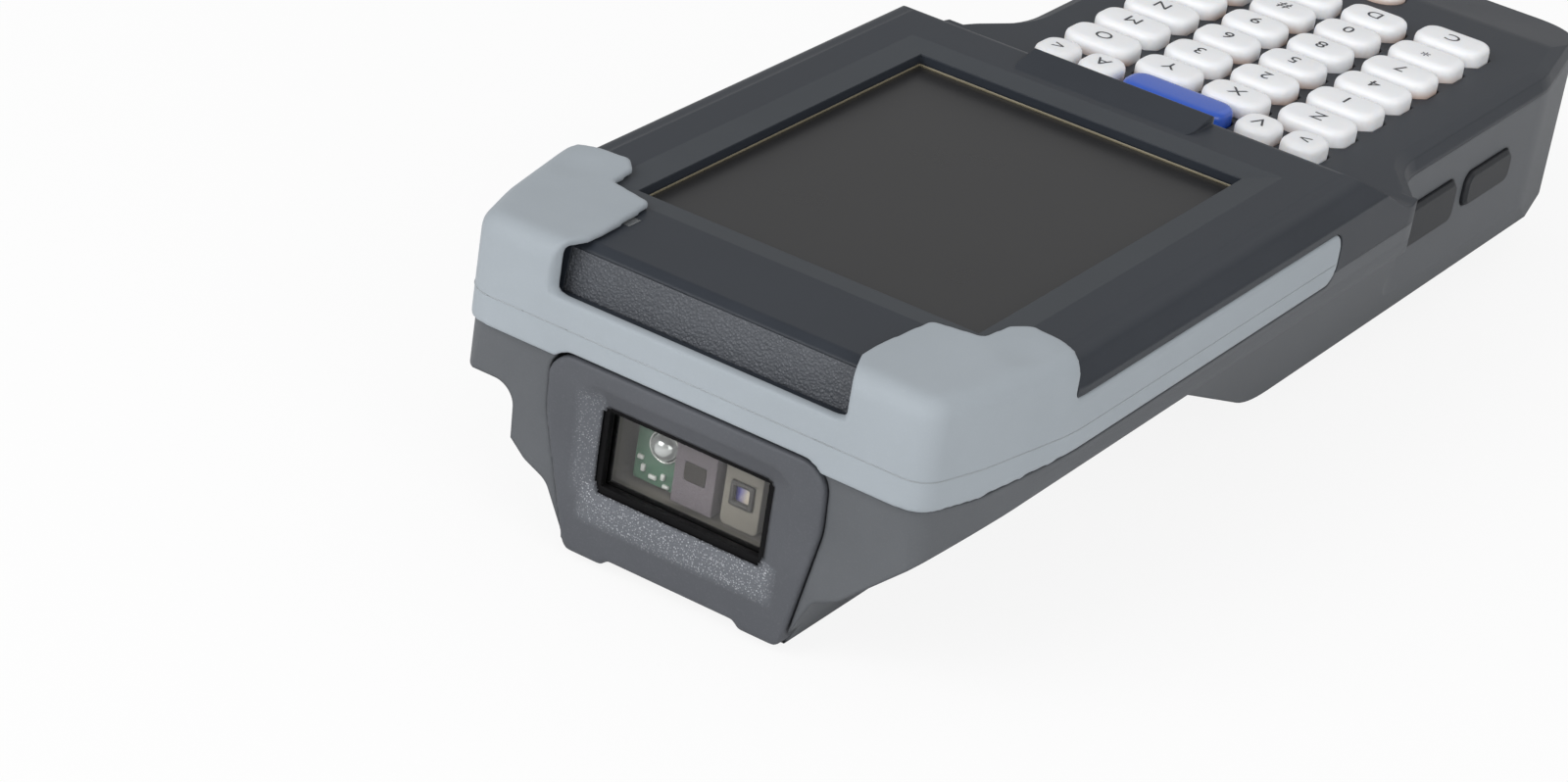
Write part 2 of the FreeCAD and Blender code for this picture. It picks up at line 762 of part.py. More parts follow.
def top_cover(panel):
    """Upper shell with its display opening, key holes and bumper seat."""
    cover = top_blank().fuse(logo_bar())
    cover = cover.cut(screen_border_cut())
    cover = cover.cut(screen_block(0.0, PARTING_Z - 1.0, drop(-3.0)))
    cover = cover.cut(top_cavity())
    cover = cover.cut(key_holes())
    cover = cover.cut(bumper_envelope())
    cover = cover.cut(panel)
    cover = cover.cut(status_window())
    return largest(cover)


def bumper_envelope():
    """Everything the rubber takes from the casing, out past its outer face."""
    core = plan_prism(head_plan(BUMPER_T, BUMPER_T), -1.0, drop(0.0))
    region = band_mask().multiFuse([cap_mask(1.0), cap_mask(-1.0)])
    return region.cut(core)


def status_window():
    x0 = STATUS_X - STATUS_W / 2.0
    y0 = at(STATUS_DEPTH) - STATUS_L / 2.0
    return block(x0, x0 + STATUS_W, y0, y0 + STATUS_L, drop(STATUS_T), drop(0.0))


def largest(shape):
    """Biggest solid of a cut, tidied."""
    solids = sorted(shape.Solids, key=lambda solid: solid.Volume)
    return solids[-1].removeSplitter()


def floor_z():
    """Level of the lower case's floor under the main board."""
    return CHANNEL_TOP_Z + WALL + 0.4


def case_cavity():
    """Inside of the lower case: boards in the head, the imager bay ahead."""
    room = HEAD_WIDTH / 2.0 - CASE_INSET - CASE_FLANK_WALL
    belly = mirrored([
        (BELLY_BOTTOM_WIDTH / 2.0 - WALL, WALL, 0.0),
        (BELLY_WIDTH / 2.0 - WALL - 1.4, BELLY_HEIGHT + 0.6, 0.0),
        (CHANNEL_WALL_X - WALL, WING_ROOT_Z + 1.5 * WALL, 0.0),
        (CHANNEL_WALL_X - WALL, floor_z(), 0.0),
        (room - WALL, floor_z(), 0.0),
        (room, WING_Z + 1.0, 0.0),
        (room, PARTING_Z + 1.0, 0.0),
    ])
    head = front_prism(belly, at(BAY_END_DEPTH - 1.0), at(BELLY_END_DEPTH))
    rear = slab(2.0 * room, at(BAY_END_DEPTH - 1.0), at(SHOULDER_DEPTH - 14.0), floor_z(), PARTING_Z + 1.0)
    half = ENGINE_W / 2.0 + 1.0
    bay = block(-half, half, at(BEZEL_BACK_DEPTH), at(BAY_END_DEPTH), BAY_FLOOR_Z, PARTING_Z - 4.0)
    keypad = key_field(0.8, mat_top() - MAT_T - KEYBOARD_T, PARTING_Z + 1.0)
    return head.multiFuse([rear, bay, keypad])


def bottom_case():
    """Lower shell with the battery bay, side pockets and dock pocket."""
    case = lower_blank()
    case = case.cut(case_cavity())
    case = case.cut(bumper_envelope())
    case = case.cut(bezel_envelope())
    case = case.cut(battery_bay())
    case = case.cut(side_pockets())
    case = case.cut(dock_pocket())
    case = case.cut(screw_holes())
    case = case.cut(speaker_grille())
    return largest(case)


# Scan bezel
def bezel_corners(margin):
    foot = BEZEL_FOOT_IN / 2.0
    low = drop(BEZEL_BOTTOM_DROP)
    return mirrored([
        (foot, low + BEZEL_FOOT_STEP, 0.0),
        (foot + 1.2, low - margin, 0.0),
        (BEZEL_FOOT_W / 2.0 + margin, low - margin, 1.6),
        (BEZEL_W / 2.0 + margin, drop(BEZEL_SHOULDER_DROP), 12.0),
        (BEZEL_W / 2.0 + margin, drop(BEZEL_TOP_DROP) + margin, BEZEL_CORNER_R),
    ])


def lean_mask(depth_offset, back_depth):
    """Slab between a plane parallel to the scan face and an upright plane."""
    low = -1.0
    high = drop(BEZEL_TOP_DROP - 2.0)
    slope = SCAN_FACE_LEAN / drop(STRIP_BOTTOM_DROP)
    top_depth = BUMPER_PROUD_FRONT - slope * (high - drop(STRIP_BOTTOM_DROP)) + depth_offset
    low_depth = BUMPER_PROUD_FRONT + slope * (drop(STRIP_BOTTOM_DROP) - low) + depth_offset
    corners = [
        (at(low_depth), low, 0.0),
        (at(back_depth), low, 0.0),
        (at(back_depth), high, 0.0),
        (at(top_depth), high, 0.0),
    ]
    return side_prism(corners, -HEAD_WIDTH, HEAD_WIDTH)


def bezel_recess():
    """Tapered recess from the bezel's rim down to the window."""
    half = WINDOW_W / 2.0
    low = drop(WINDOW_BOTTOM_DROP)
    high = drop(WINDOW_TOP_DROP)
    rim = [
        (half + RECESS_SIDE - 1.4, low - RECESS_BOTTOM, 3.0),
        (half + RECESS_SIDE, high + RECESS_TOP, 2.0),
        (-half - RECESS_SIDE, high + RECESS_TOP, 2.0),
        (-half - RECESS_SIDE + 1.4, low - RECESS_BOTTOM, 3.0),
    ]
    seat = [(half, low, WINDOW_R), (half, high, WINDOW_R), (-half, high, WINDOW_R), (-half, low, WINDOW_R)]
    mouth = outline(rim, front_point, at(-0.6))
    floor = outline(seat, front_point, at(WINDOW_FACE_DEPTH))
    return Part.makeLoft([mouth, floor], True, True)


def scan_bezel():
    body = front_prism(bezel_corners(0.0), at(-2.0), at(BEZEL_BACK_DEPTH))
    body = body.common(lean_mask(-BEZEL_PROUD, BEZEL_BACK_DEPTH))
    body = body.cut(bezel_recess())
    window = window_block(WINDOW_W, drop(WINDOW_BOTTOM_DROP), drop(WINDOW_TOP_DROP), at(-2.0), at(9.0), WINDOW_R)
    return largest(body.cut(window))


def bezel_envelope():
    return front_prism(bezel_corners(SEAM), at(-3.0), at(BEZEL_BACK_DEPTH))


def window_gasket():
    """Rubber frame round the glass, with a lip on both faces."""
    low = drop(WINDOW_BOTTOM_DROP)
    high = drop(WINDOW_TOP_DROP)
    ring = window_block(WINDOW_W, low, high, at(WINDOW_FACE_DEPTH), at(BEZEL_BACK_DEPTH), WINDOW_R)
    sight = glass_block(0.0, WINDOW_FACE_DEPTH - 1.0, GLASS_FACE_DEPTH)
    seat = glass_block(GLASS_LAP, GLASS_FACE_DEPTH, GLASS_FACE_DEPTH + GLASS_T)
    behind = glass_block(0.0, GLASS_FACE_DEPTH + GLASS_T, BEZEL_BACK_DEPTH + 1.0)
    return ring.cut(sight.multiFuse([seat, behind]))


def glass_block(margin, near, far):
    half = WINDOW_W / 2.0 - GASKET_W + margin
    low = drop(WINDOW_BOTTOM_DROP) + GASKET_W - margin
    high = drop(WINDOW_TOP_DROP) - GASKET_W + margin
    return block(-half, half, at(near), at(far), low, high)


def scan_window():
    return glass_block(GLASS_LAP, GLASS_FACE_DEPTH, GLASS_FACE_DEPTH + GLASS_T)


# Imager
def engine_mid_z():
    return (drop(WINDOW_TOP_DROP) + drop(WINDOW_BOTTOM_DROP)) / 2.0


def engine_front():
    return BEZEL_BACK_DEPTH + ENGINE_GAP


def imager_chassis():
    """Open box that holds the optics, closed behind by its board."""
    mid = engine_mid_z()
    low = mid - ENGINE_H / 2.0
    high = mid + ENGINE_H / 2.0
    near = engine_front()
    far = near + ENGINE_L
    body = window_block(ENGINE_W, low, high, at(near), at(far), 0.8)
    inner_w = ENGINE_W - 2.0 * ENGINE_WALL
    inner = window_block(inner_w, low + ENGINE_WALL, high - ENGINE_WALL, at(near - 1.0), at(far + 1.0), 0.5)
    foot = block(-ENGINE_FOOT_W / 2.0, ENGINE_FOOT_W / 2.0, at(near + 2.0), at(far), BAY_FLOOR_Z, low)
    return body.cut(inner).fuse(foot).removeSplitter()


def engine_board():
    mid = engine_mid_z()
    near = engine_front() + ENGINE_L
    low = mid - ENGINE_H / 2.0
    return block(-ENGINE_W / 2.0, ENGINE_W / 2.0, at(near), at(near + ENGINE_BOARD_T), low, low + ENGINE_H)


def optic_mouth(length):
    """Row y of the front face of an optic that ends at the engine board."""
    return at(engine_front() + ENGINE_L - length)


def optic_block(centre, width, length, round_r):
    mid = drop(OPTIC_DROP)
    half = OPTIC_H / 2.0
    return window_block(width, mid - half, mid + half, optic_mouth(length), optic_mouth(0.0), round_r, centre)


def led_module():
    """Reflector cup with the lamp dome at its bottom."""
    body = optic_block(LAMP_X, LAMP_W, LAMP_L, 0.0)
    mouth = optic_mouth(LAMP_L)
    axis = FreeCAD.Vector(0, 1, 0)
    z = drop(OPTIC_DROP) + LAMP_RISE
    floor = FreeCAD.Vector(LAMP_X, mouth + LAMP_CUP_DEEP, z)
    cup = Part.makeCone(LAMP_CUP_R, LAMP_DOME_R + 0.4, LAMP_CUP_DEEP, FreeCAD.Vector(LAMP_X, mouth, z), axis)
    dome = Part.makeCone(LAMP_DOME_R, LAMP_DOME_R / 2.0, LAMP_DOME_R, floor, axis * -1.0)
    return body.cut(cup).fuse(dome).removeSplitter()


def aimer_block():
    body = optic_block(AIMER_X, AIMER_W, AIMER_L, 0.0)
    mouth = optic_mouth(AIMER_L)
    z = drop(OPTIC_DROP)
    half = APERTURE_H / 2.0
    hole = window_block(APERTURE_W, z - half, z + half, mouth - 1.0, mouth + APERTURE_DEEP, 0.0, AIMER_X)
    return body.cut(hole)


def lens_block(near, far):
    z = drop(OPTIC_DROP)
    half = LENS_SIZE / 2.0
    return window_block(LENS_SIZE, z - half, z + half, near, far, 0.0, CAMERA_X)


def camera_block():
    mouth = optic_mouth(CAMERA_L)
    return optic_block(CAMERA_X, CAMERA_W, CAMERA_L, 0.9).cut(lens_block(mouth - 1.0, mouth + LENS_INSET + LENS_T))


def camera_lens():
    near = optic_mouth(CAMERA_L) + LENS_INSET
    return lens_block(near, near + LENS_T)


def light_pipes():
    """Two clear uprights beside the camera block."""
    pipes = [optic_block(PIPE_X + index * PIPE_PITCH, PIPE_W, PIPE_L, 0.0) for index in range(2)]
    return Part.Compound(pipes)


# Boards, speaker, screws, dock connector
def main_board():
    y1 = at(SHOULDER_DEPTH - 15.0)
    return slab(HEAD_WIDTH - 9.0, at(BAY_END_DEPTH + 4.0), y1, floor_z(), floor_z() + BOARD_T)


def speaker():
    return Part.makeCylinder(SPEAKER_D / 2.0, SPEAKER_T, FreeCAD.Vector(0, at(SPEAKER_DEPTH), WALL))


def speaker_grille():
    slots = []
    first = -(GRILLE_SLOTS - 1) / 2.0
    for index in range(GRILLE_SLOTS):
        offset = (first + index) * GRILLE_PITCH
        length = 2.0 * math.sqrt((SPEAKER_D / 2.0 - 1.5) ** 2 - offset ** 2)
        y = at(SPEAKER_DEPTH) + offset
        slots.append(slab(length, y - GRILLE_SLOT_W / 2.0, y + GRILLE_SLOT_W / 2.0, -1.0, WALL + 0.01))
    return Part.Compound(slots)


def screw_places():
    return [(sign * SCREW_X, at(depth)) for depth in SCREW_DEPTHS for sign in (-1.0, 1.0)]


def screw_holes():
    holes = []
    for x, y in screw_places():
        head = Part.makeCylinder(SCREW_HEAD_D / 2.0, SCREW_HEAD_T + 2.0, FreeCAD.Vector(x, y, -2.0))
        shank = Part.makeCylinder(SCREW_SHANK_D / 2.0, SCREW_SHANK_L, FreeCAD.Vector(x, y, SCREW_HEAD_T))
        holes.append(head.fuse(shank))
    return Part.Compound(holes)


def case_screws():
    """The four casing screws, their heads just below the surface."""
    screws = []
    for x, y in screw_places():
        head_t = SCREW_HEAD_T - SCREW_RECESS
        head = Part.makeCylinder(SCREW_HEAD_D / 2.0, head_t, FreeCAD.Vector(x, y, SCREW_RECESS))
        shank = Part.makeCylinder(SCREW_SHANK_D / 2.0, SCREW_SHANK_L, FreeCAD.Vector(x, y, SCREW_HEAD_T))
        screws.append(head.fuse(shank).removeSplitter())
    return Part.Compound(screws)


def dock_low_z():
    """Underside of the dock connector, which hangs below the keypad board."""
    return mat_top() - MAT_T - KEYBOARD_T - DOCK_BOARD_GAP - DOCK_H


def dock_pocket():
    y1 = at(LENGTH)
    low = dock_low_z()
    return window_block(DOCK_W, low, low + DOCK_H, y1 - DOCK_T - DOCK_RECESS, y1 + 2.0, DOCK_R)


def dock_connector():
    """Recessed contact block in the end of the grip."""
    y1 = at(LENGTH) - DOCK_RECESS
    low = dock_low_z()
    body = window_block(DOCK_W, low, low + DOCK_H, y1 - DOCK_T, y1, DOCK_R)
    low += (DOCK_H - DOCK_CONTACT_H) / 2.0
    pockets = []
    pitch = (DOCK_W - 4.0) / DOCK_CONTACTS
    half = DOCK_CONTACT_W / 2.0
    for index in range(DOCK_CONTACTS):
        x = (index - (DOCK_CONTACTS - 1) / 2.0) * pitch
        pockets.append(block(x - half, x + half, y1 - 0.5, y1 + 1.0, low, low + DOCK_CONTACT_H))
    return body.cut(Part.Compound(pockets))


# Battery
def battery_profile():
    y0 = at(BATTERY_FRONT_DEPTH)
    y1 = at(BATTERY_END_DEPTH)
    return [
        (y0, BATTERY_TOP_Z, 0.0),
        (y1, BATTERY_TOP_Z, 0.0),
        (y1, 0.0, 3.0),
        (y1 - HEEL_LENGTH + HEEL_RUN, 0.0, 12.0),
        (y1 - HEEL_LENGTH, BATTERY_BACK_Z, 16.0),
        (y0, BATTERY_BACK_Z, 1.5),
    ]


def battery_section():
    half = BATTERY_W / 2.0
    return mirrored([
        (half, 0.0, BATTERY_EDGE_R),
        (half, BATTERY_TOP_Z, 1.0),
    ])


def battery_pack():
    """Pack with rounded edges, its latch pocket and contact recesses."""
    y0 = at(BATTERY_FRONT_DEPTH)
    y1 = at(BATTERY_END_DEPTH)
    side = side_prism(battery_profile(), -BATTERY_W, BATTERY_W)
    section = front_prism(battery_section(), y0, y1)
    plan = slab(BATTERY_W, y0, y1, -1.0, BATTERY_TOP_Z + 1.0, BATTERY_CORNER_R)
    body = side.common(section).common(plan)
    body = body.cut(latch_pocket())
    body = body.cut(battery_pads())
    return largest(body)


def battery_bay():
    gap = BATTERY_CLEARANCE
    y0 = at(BATTERY_FRONT_DEPTH) - gap
    y1 = at(BATTERY_END_DEPTH) + gap
    return slab(BATTERY_W + 2.0 * gap, y0, y1, -1.0, BATTERY_TOP_Z + gap, BATTERY_CORNER_R + gap)


def battery_pads():
    """Row of contact recesses on the pack's upper front edge."""
    pads = []
    y0 = at(BATTERY_FRONT_DEPTH) + 4.0
    low = BATTERY_TOP_Z - PAD_DEEP
    for index in range(PAD_COUNT):
        x = (index - (PAD_COUNT - 1) / 2.0) * PAD_PITCH
        pads.append(block(x - PAD_W / 2.0, x + PAD_W / 2.0, y0, y0 + PAD_L, low, low + 1.0))
    return Part.Compound(pads)


def latch_pocket():
    y0 = at(BATTERY_FRONT_DEPTH) + LATCH_FRONT - LATCH_CLEARANCE
    y1 = y0 + LATCH_L + LATCH_TRAVEL + 2.0 * LATCH_CLEARANCE
    width = LATCH_W + 2.0 * LATCH_CLEARANCE
    return slab(width, y0, y1, -1.0, BATTERY_BACK_Z + LATCH_T + LATCH_CLEARANCE, 1.0)


def battery_latch():
    """Ribbed thumb slide in the back of the pack."""
    y0 = at(BATTERY_FRONT_DEPTH) + LATCH_FRONT
    low = BATTERY_BACK_Z + 0.3
    body = slab(LATCH_W, y0, y0 + LATCH_L, low, BATTERY_BACK_Z + LATCH_T, 1.0)
    grooves = []
    for index in range(3):
        y = y0 + 2.0 + index * 2.0
        grooves.append(block(-LATCH_W / 2.0 + 2.0, LATCH_W / 2.0 - 2.0, y - 0.4, y + 0.4, low - 1.0, low + 0.6))
    return body.cut(Part.Compound(grooves))


# Side controls
def side_block(sign, length, height, depth, near_x, far_x, radius):
    y0 = at(depth)
    z0 = BUTTON_Z - height / 2.0
    corners = [
        (y0, z0, radius),
        (y0 + length, z0, radius),
        (y0 + length, z0 + height, radius),
        (y0, z0 + height, radius),
    ]
    low, high = sorted((sign * near_x, sign * far_x))
    return side_prism(corners, low, high)


def grip_side():
    return GRIP_WIDTH / 2.0


def side_button(sign, length, height, depth):
    outer = grip_side() + BUTTON_PROUD
    button = side_block(sign, length, height, depth, grip_side() - BUTTON_DEEP, outer, 2.0)
    face = sign * outer
    rim = [e for e in button.Edges if abs(e.BoundBox.XMin - face) < 0.01 and abs(e.BoundBox.XMax - face) < 0.01]
    return button.makeChamfer(0.5, rim)


def side_pocket(sign, length, height, depth):
    gap = BUTTON_CLEARANCE
    inner = grip_side() - BUTTON_DEEP - BUTTON_TRAVEL_GAP
    return side_block(sign, length + 2.0 * gap, height + 2.0 * gap, depth - gap, inner, grip_side() + 5.0, 2.0)


def side_pockets():
    return Part.Compound([
        side_pocket(-1.0, SCAN_BUTTON_L, SCAN_BUTTON_H, SHOULDER_DEPTH + SCAN_BUTTON_GAP),
        side_pocket(1.0, SCAN_BUTTON_L, SCAN_BUTTON_H, SHOULDER_DEPTH + SCAN_BUTTON_GAP),
        side_pocket(1.0, ROCKER_L, ROCKER_H, SHOULDER_DEPTH + ROCKER_GAP),
    ])


def build():
    """Every piece of the terminal by its name."""
    panel = front_panel_shape()
    pieces = {
        "top_cover": top_cover(panel),
        "bottom_case": bottom_case(),
        "bumper": bumper_shape(),
        "front_panel": panel,
        "scan_bezel": scan_bezel(),
        "window_gasket": window_gasket(),
        "scan_window": scan_window(),
        "imager_chassis": imager_chassis(),
        "imager_board": engine_board(),
        "imager_lamp": led_module(),
        "imager_aimer": aimer_block(),
        "imager_camera": camera_block(),
        "imager_lens": camera_lens(),
        "light_pipes": light_pipes(),
        "display_seal": display_seal(),
        "touch_screen": touch_screen(),
        "display_panel": display_panel(),
        "status_lens": status_window(),
        "main_board": main_board(),
        "keypad_mat": keypad_mat(),
        "keypad_board": keypad_board(),
        "speaker": speaker(),
        "dock_connector": dock_connector(),
        "case_screws": case_screws(),
        "battery_pack": battery_pack(),
        "battery_latch": battery_latch(),
        "scan_button_left": side_button(1.0, SCAN_BUTTON_L, SCAN_BUTTON_H, SHOULDER_DEPTH + SCAN_BUTTON_GAP),
        "scan_button_right": side_button(-1.0, SCAN_BUTTON_L, SCAN_BUTTON_H, SHOULDER_DEPTH + SCAN_BUTTON_GAP),
        "volume_rocker": side_button(1.0, ROCKER_L, ROCKER_H, SHOULDER_DEPTH + ROCKER_GAP),
        "key_power": power_key(),
    }
    for name, centre, front, width, length in keypad_keys():
        pieces[name] = key_shape(centre, front, width, length)
    return pieces


os.makedirs("parts", exist_ok=True)
for node, shape in build().items():
    shape.exportStep(f"parts/{node}.step")
    print(node, len(shape.Solids), round(shape.Volume, 1), shape.isValid())
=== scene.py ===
"""Finishes and fine pieces of a portable barcode data terminal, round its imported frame.

Metres, in the frame of the construction model: +Y runs from the scan window to
the dock end, +Z points out of the display, and z = 0 is the surface it lies on.
"""

import json
import logging
import math
from dataclasses import dataclass, field
from enum import Enum

import bmesh
import bpy
from mathutils import Matrix, Vector

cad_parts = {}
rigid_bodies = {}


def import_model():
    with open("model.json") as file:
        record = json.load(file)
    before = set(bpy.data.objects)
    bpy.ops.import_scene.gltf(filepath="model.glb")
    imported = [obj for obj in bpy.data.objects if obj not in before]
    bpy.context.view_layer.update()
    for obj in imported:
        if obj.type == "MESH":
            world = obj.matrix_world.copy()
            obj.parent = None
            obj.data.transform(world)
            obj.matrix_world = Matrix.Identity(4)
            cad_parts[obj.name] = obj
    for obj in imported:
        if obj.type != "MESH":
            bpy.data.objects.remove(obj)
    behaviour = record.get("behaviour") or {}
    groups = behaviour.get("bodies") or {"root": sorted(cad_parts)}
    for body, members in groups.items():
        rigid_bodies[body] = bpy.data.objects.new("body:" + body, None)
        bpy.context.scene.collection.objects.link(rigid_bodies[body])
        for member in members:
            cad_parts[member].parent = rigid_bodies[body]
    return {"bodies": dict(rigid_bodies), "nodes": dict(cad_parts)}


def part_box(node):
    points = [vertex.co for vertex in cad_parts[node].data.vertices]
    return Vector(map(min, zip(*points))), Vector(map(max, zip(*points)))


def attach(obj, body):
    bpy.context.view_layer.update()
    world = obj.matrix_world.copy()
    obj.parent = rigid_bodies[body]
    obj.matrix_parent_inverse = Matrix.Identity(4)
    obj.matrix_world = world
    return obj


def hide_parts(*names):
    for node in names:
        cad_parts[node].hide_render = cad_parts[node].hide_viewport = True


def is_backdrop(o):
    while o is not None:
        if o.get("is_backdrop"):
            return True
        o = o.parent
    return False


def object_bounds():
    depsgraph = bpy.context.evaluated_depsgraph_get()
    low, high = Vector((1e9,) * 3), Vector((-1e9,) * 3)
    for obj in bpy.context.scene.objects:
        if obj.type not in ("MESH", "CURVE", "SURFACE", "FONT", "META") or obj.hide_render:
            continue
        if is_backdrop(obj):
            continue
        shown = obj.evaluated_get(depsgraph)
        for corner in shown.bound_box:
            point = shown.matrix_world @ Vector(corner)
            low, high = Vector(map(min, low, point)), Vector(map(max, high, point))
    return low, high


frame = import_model()

Socket = bpy.types.NodeSocket
Node = bpy.types.Node
Tree = bpy.types.NodeTree
Material = bpy.types.Material
Mesh = bpy.types.Mesh
Object = bpy.types.Object
Pair = tuple[float, float]
Triple = tuple[float, float, float]
Four = tuple[float, float, float, float]

PHOTO_WIDTH_PX = 1600.0
WHITE = (1.0, 1.0, 1.0, 1.0)
NUMBER = "NodeSocketFloat"
MASK = {"Mask": NUMBER}
LOG = logging.getLogger("terminal")

# What every finish shares: colours, shares of a mask, and spreads of a value
PALE_GAIN = 1.7
PALE_LIFT = 0.05
LIGHT_LIFT = 0.004
TONE_SPREAD = (0.3, 0.7)
ROUGH_SPREAD = 0.16
# Share of the painted glints mixed into the tips of a pebbled texture
TIP_GLINT_SHARE = 0.55
SLOPE_GRAIN = 3200.0
SLOPE_RISE = 3.0
# Painted light on the scan bezel's slopes, and the colour of the painted glints on them
SLOPE_LIGHT_SHARE = 0.28
SLOPE_LIGHT_COLOUR = (0.26, 0.28, 0.31, 1.0)
GLINT_COLOUR = (0.72, 0.74, 0.78, 1.0)
# Colour of the painted amber glow at the foot of each key
PAINTED_GLOW_COLOUR = (0.42, 0.17, 0.03, 1.0)
DUST_COLOUR = (0.6, 0.6, 0.58, 1.0)
COAT_ROUGH = 0.12
SCATTER_SHARES = (1.0, 0.9, 0.8)
SCATTER_REACH = 0.0012
GLASS_INDEX = 1.46
GLASS_SHADE = 0.97
GLASS_TONE_SCALE = 180.0
GLASS_SHADOW_SHARE = 0.9

# Points of a mesh that lie closer than this are one
SAME_PLACE = 1e-8


class Grain(Enum):
    """How the surface of a finish is textured."""

    FINE = "fine"
    # Pebbled texture, with painted glints on its tips
    SPARKLE = "sparkle"


class Sheet:
    """A node tree with short calls for adding and joining nodes."""

    def __init__(self, tree: Tree) -> None:
        """Empty the tree and keep it.

        Args:
            tree: Material or group tree to write into.
        """
        self.tree = tree
        tree.nodes.clear()

    def add(self, kind: str, values: dict | None = None, **settings: object) -> Node:
        """Add one node.

        Args:
            kind: Node type without its ShaderNode prefix, or a full type name.
            values: Input socket values by name or index.
            **settings: Properties set on the node itself.

        Returns:
            The new node.
        """
        full = kind if kind.startswith("Node") else "ShaderNode" + kind
        node = self.tree.nodes.new(full)
        for key, value in settings.items():
            setattr(node, key, value)
        for key, value in (values or {}).items():
            node.inputs[key].default_value = value
        return node

    def join(self, source: Socket, target: Socket) -> None:
        """Link two sockets."""
        self.tree.links.new(source, target)

    def feed(self, part: object, target: Socket) -> None:
        """Join a socket to another, or set a number or a colour on it.

        Args:
            part: The socket or the value.
            target: The socket that takes it.
        """
        if isinstance(part, Socket):
            self.join(part, target)
        else:
            target.default_value = part

    def math(self, operation: str, first: object, second: object = None) -> Socket:
        """Add a Math node.

        Args:
            operation: Its operation name.
            first: A socket or a number.
            second: A socket, a number or nothing.

        Returns:
            The node's output socket.
        """
        node = self.add("Math", operation=operation)
        self.feed(first, node.inputs[0])
        if second is not None:
            self.feed(second, node.inputs[1])
        return node.outputs[0]

    def times(self, first: object, second: object) -> Socket:
        """Product of two sockets or numbers."""
        return self.math("MULTIPLY", first, second)

    def ramp(self, source: Socket, low: float, high: float) -> Socket:
        """Spread a value between two limits over 0 to 1, clamped.

        Args:
            source: The value.
            low: Where the result is 0.
            high: Where the result is 1.

        Returns:
            The result's socket.
        """
        node = self.add("MapRange", {"From Min": low, "From Max": high})
        self.join(source, node.inputs["Value"])
        return node.outputs["Result"]

    def fall(self, source: Socket, low: float, high: float) -> Socket:
        """Like ramp, but from 1 down to 0."""
        return self.math("SUBTRACT", 1.0, self.ramp(source, low, high))

    def band(self, source: Socket, rise: Pair,
             fall: Pair) -> Socket:
        """Mask of a value that lies between two soft limits."""
        return self.times(self.ramp(source, *rise), self.fall(source, *fall))

    def place(self) -> Socket:
        """Coordinates in the row frame."""
        return self.add("TexCoord").outputs["Object"]

    def axes(self, vector: Socket) -> bpy.types.NodeOutputs:
        """Parts of a vector along X, Y and Z.

        Args:
            vector: The vector's socket.

        Returns:
            The three parts by name.
        """
        node = self.add("SeparateXYZ")
        self.join(vector, node.inputs[0])
        return node.outputs

    def noise(self, scale: object, detail: float, rough: float = 0.5) -> Socket:
        """Noise over the row frame.

        Args:
            scale: A socket or a number.
            detail: Number of finer layers.
            rough: Share of the finer layers.

        Returns:
            The noise's socket, 0 to 1.
        """
        node = self.add("TexNoise", {"Detail": detail, "Roughness": rough})
        self.join(self.place(), node.inputs["Vector"])
        self.feed(scale, node.inputs["Scale"])
        return node.outputs["Fac"]

    def blend(self, share: object, first: object, second: object, sink: object) -> None:
        """Mix two shaders by a share and join the result to a socket.

        Args:
            share: Socket of the share, 0 for the first shader.
            first: First shader's socket.
            second: Second shader's socket.
            sink: The socket that takes the result.
        """
        node = self.add("MixShader")
        for index, source in enumerate((share, first, second)):
            self.join(source, node.inputs[index])
        self.join(node.outputs[0], sink)

    def mix(self, share: object, first: object, second: object) -> Socket:
        """Mix two colours.

        Args:
            share: Socket or number, 0 for the first colour.
            first: Socket or RGBA colour.
            second: Socket or RGBA colour.

        Returns:
            The mixed colour's socket.
        """
        node = self.add("Mix", data_type="RGBA")
        for index, part in ((0, share), (6, first), (7, second)):
            self.feed(part, node.inputs[index])
        return node.outputs[2]


def new_material(name: str) -> tuple[Material, Sheet, Node]:
    """Start a node material.

    Args:
        name: Its name.

    Returns:
        The material, its sheet and its output node.
    """
    made = bpy.data.materials.new(name)
    made.use_nodes = True
    sheet = Sheet(made.node_tree)
    return made, sheet, sheet.add("OutputMaterial")


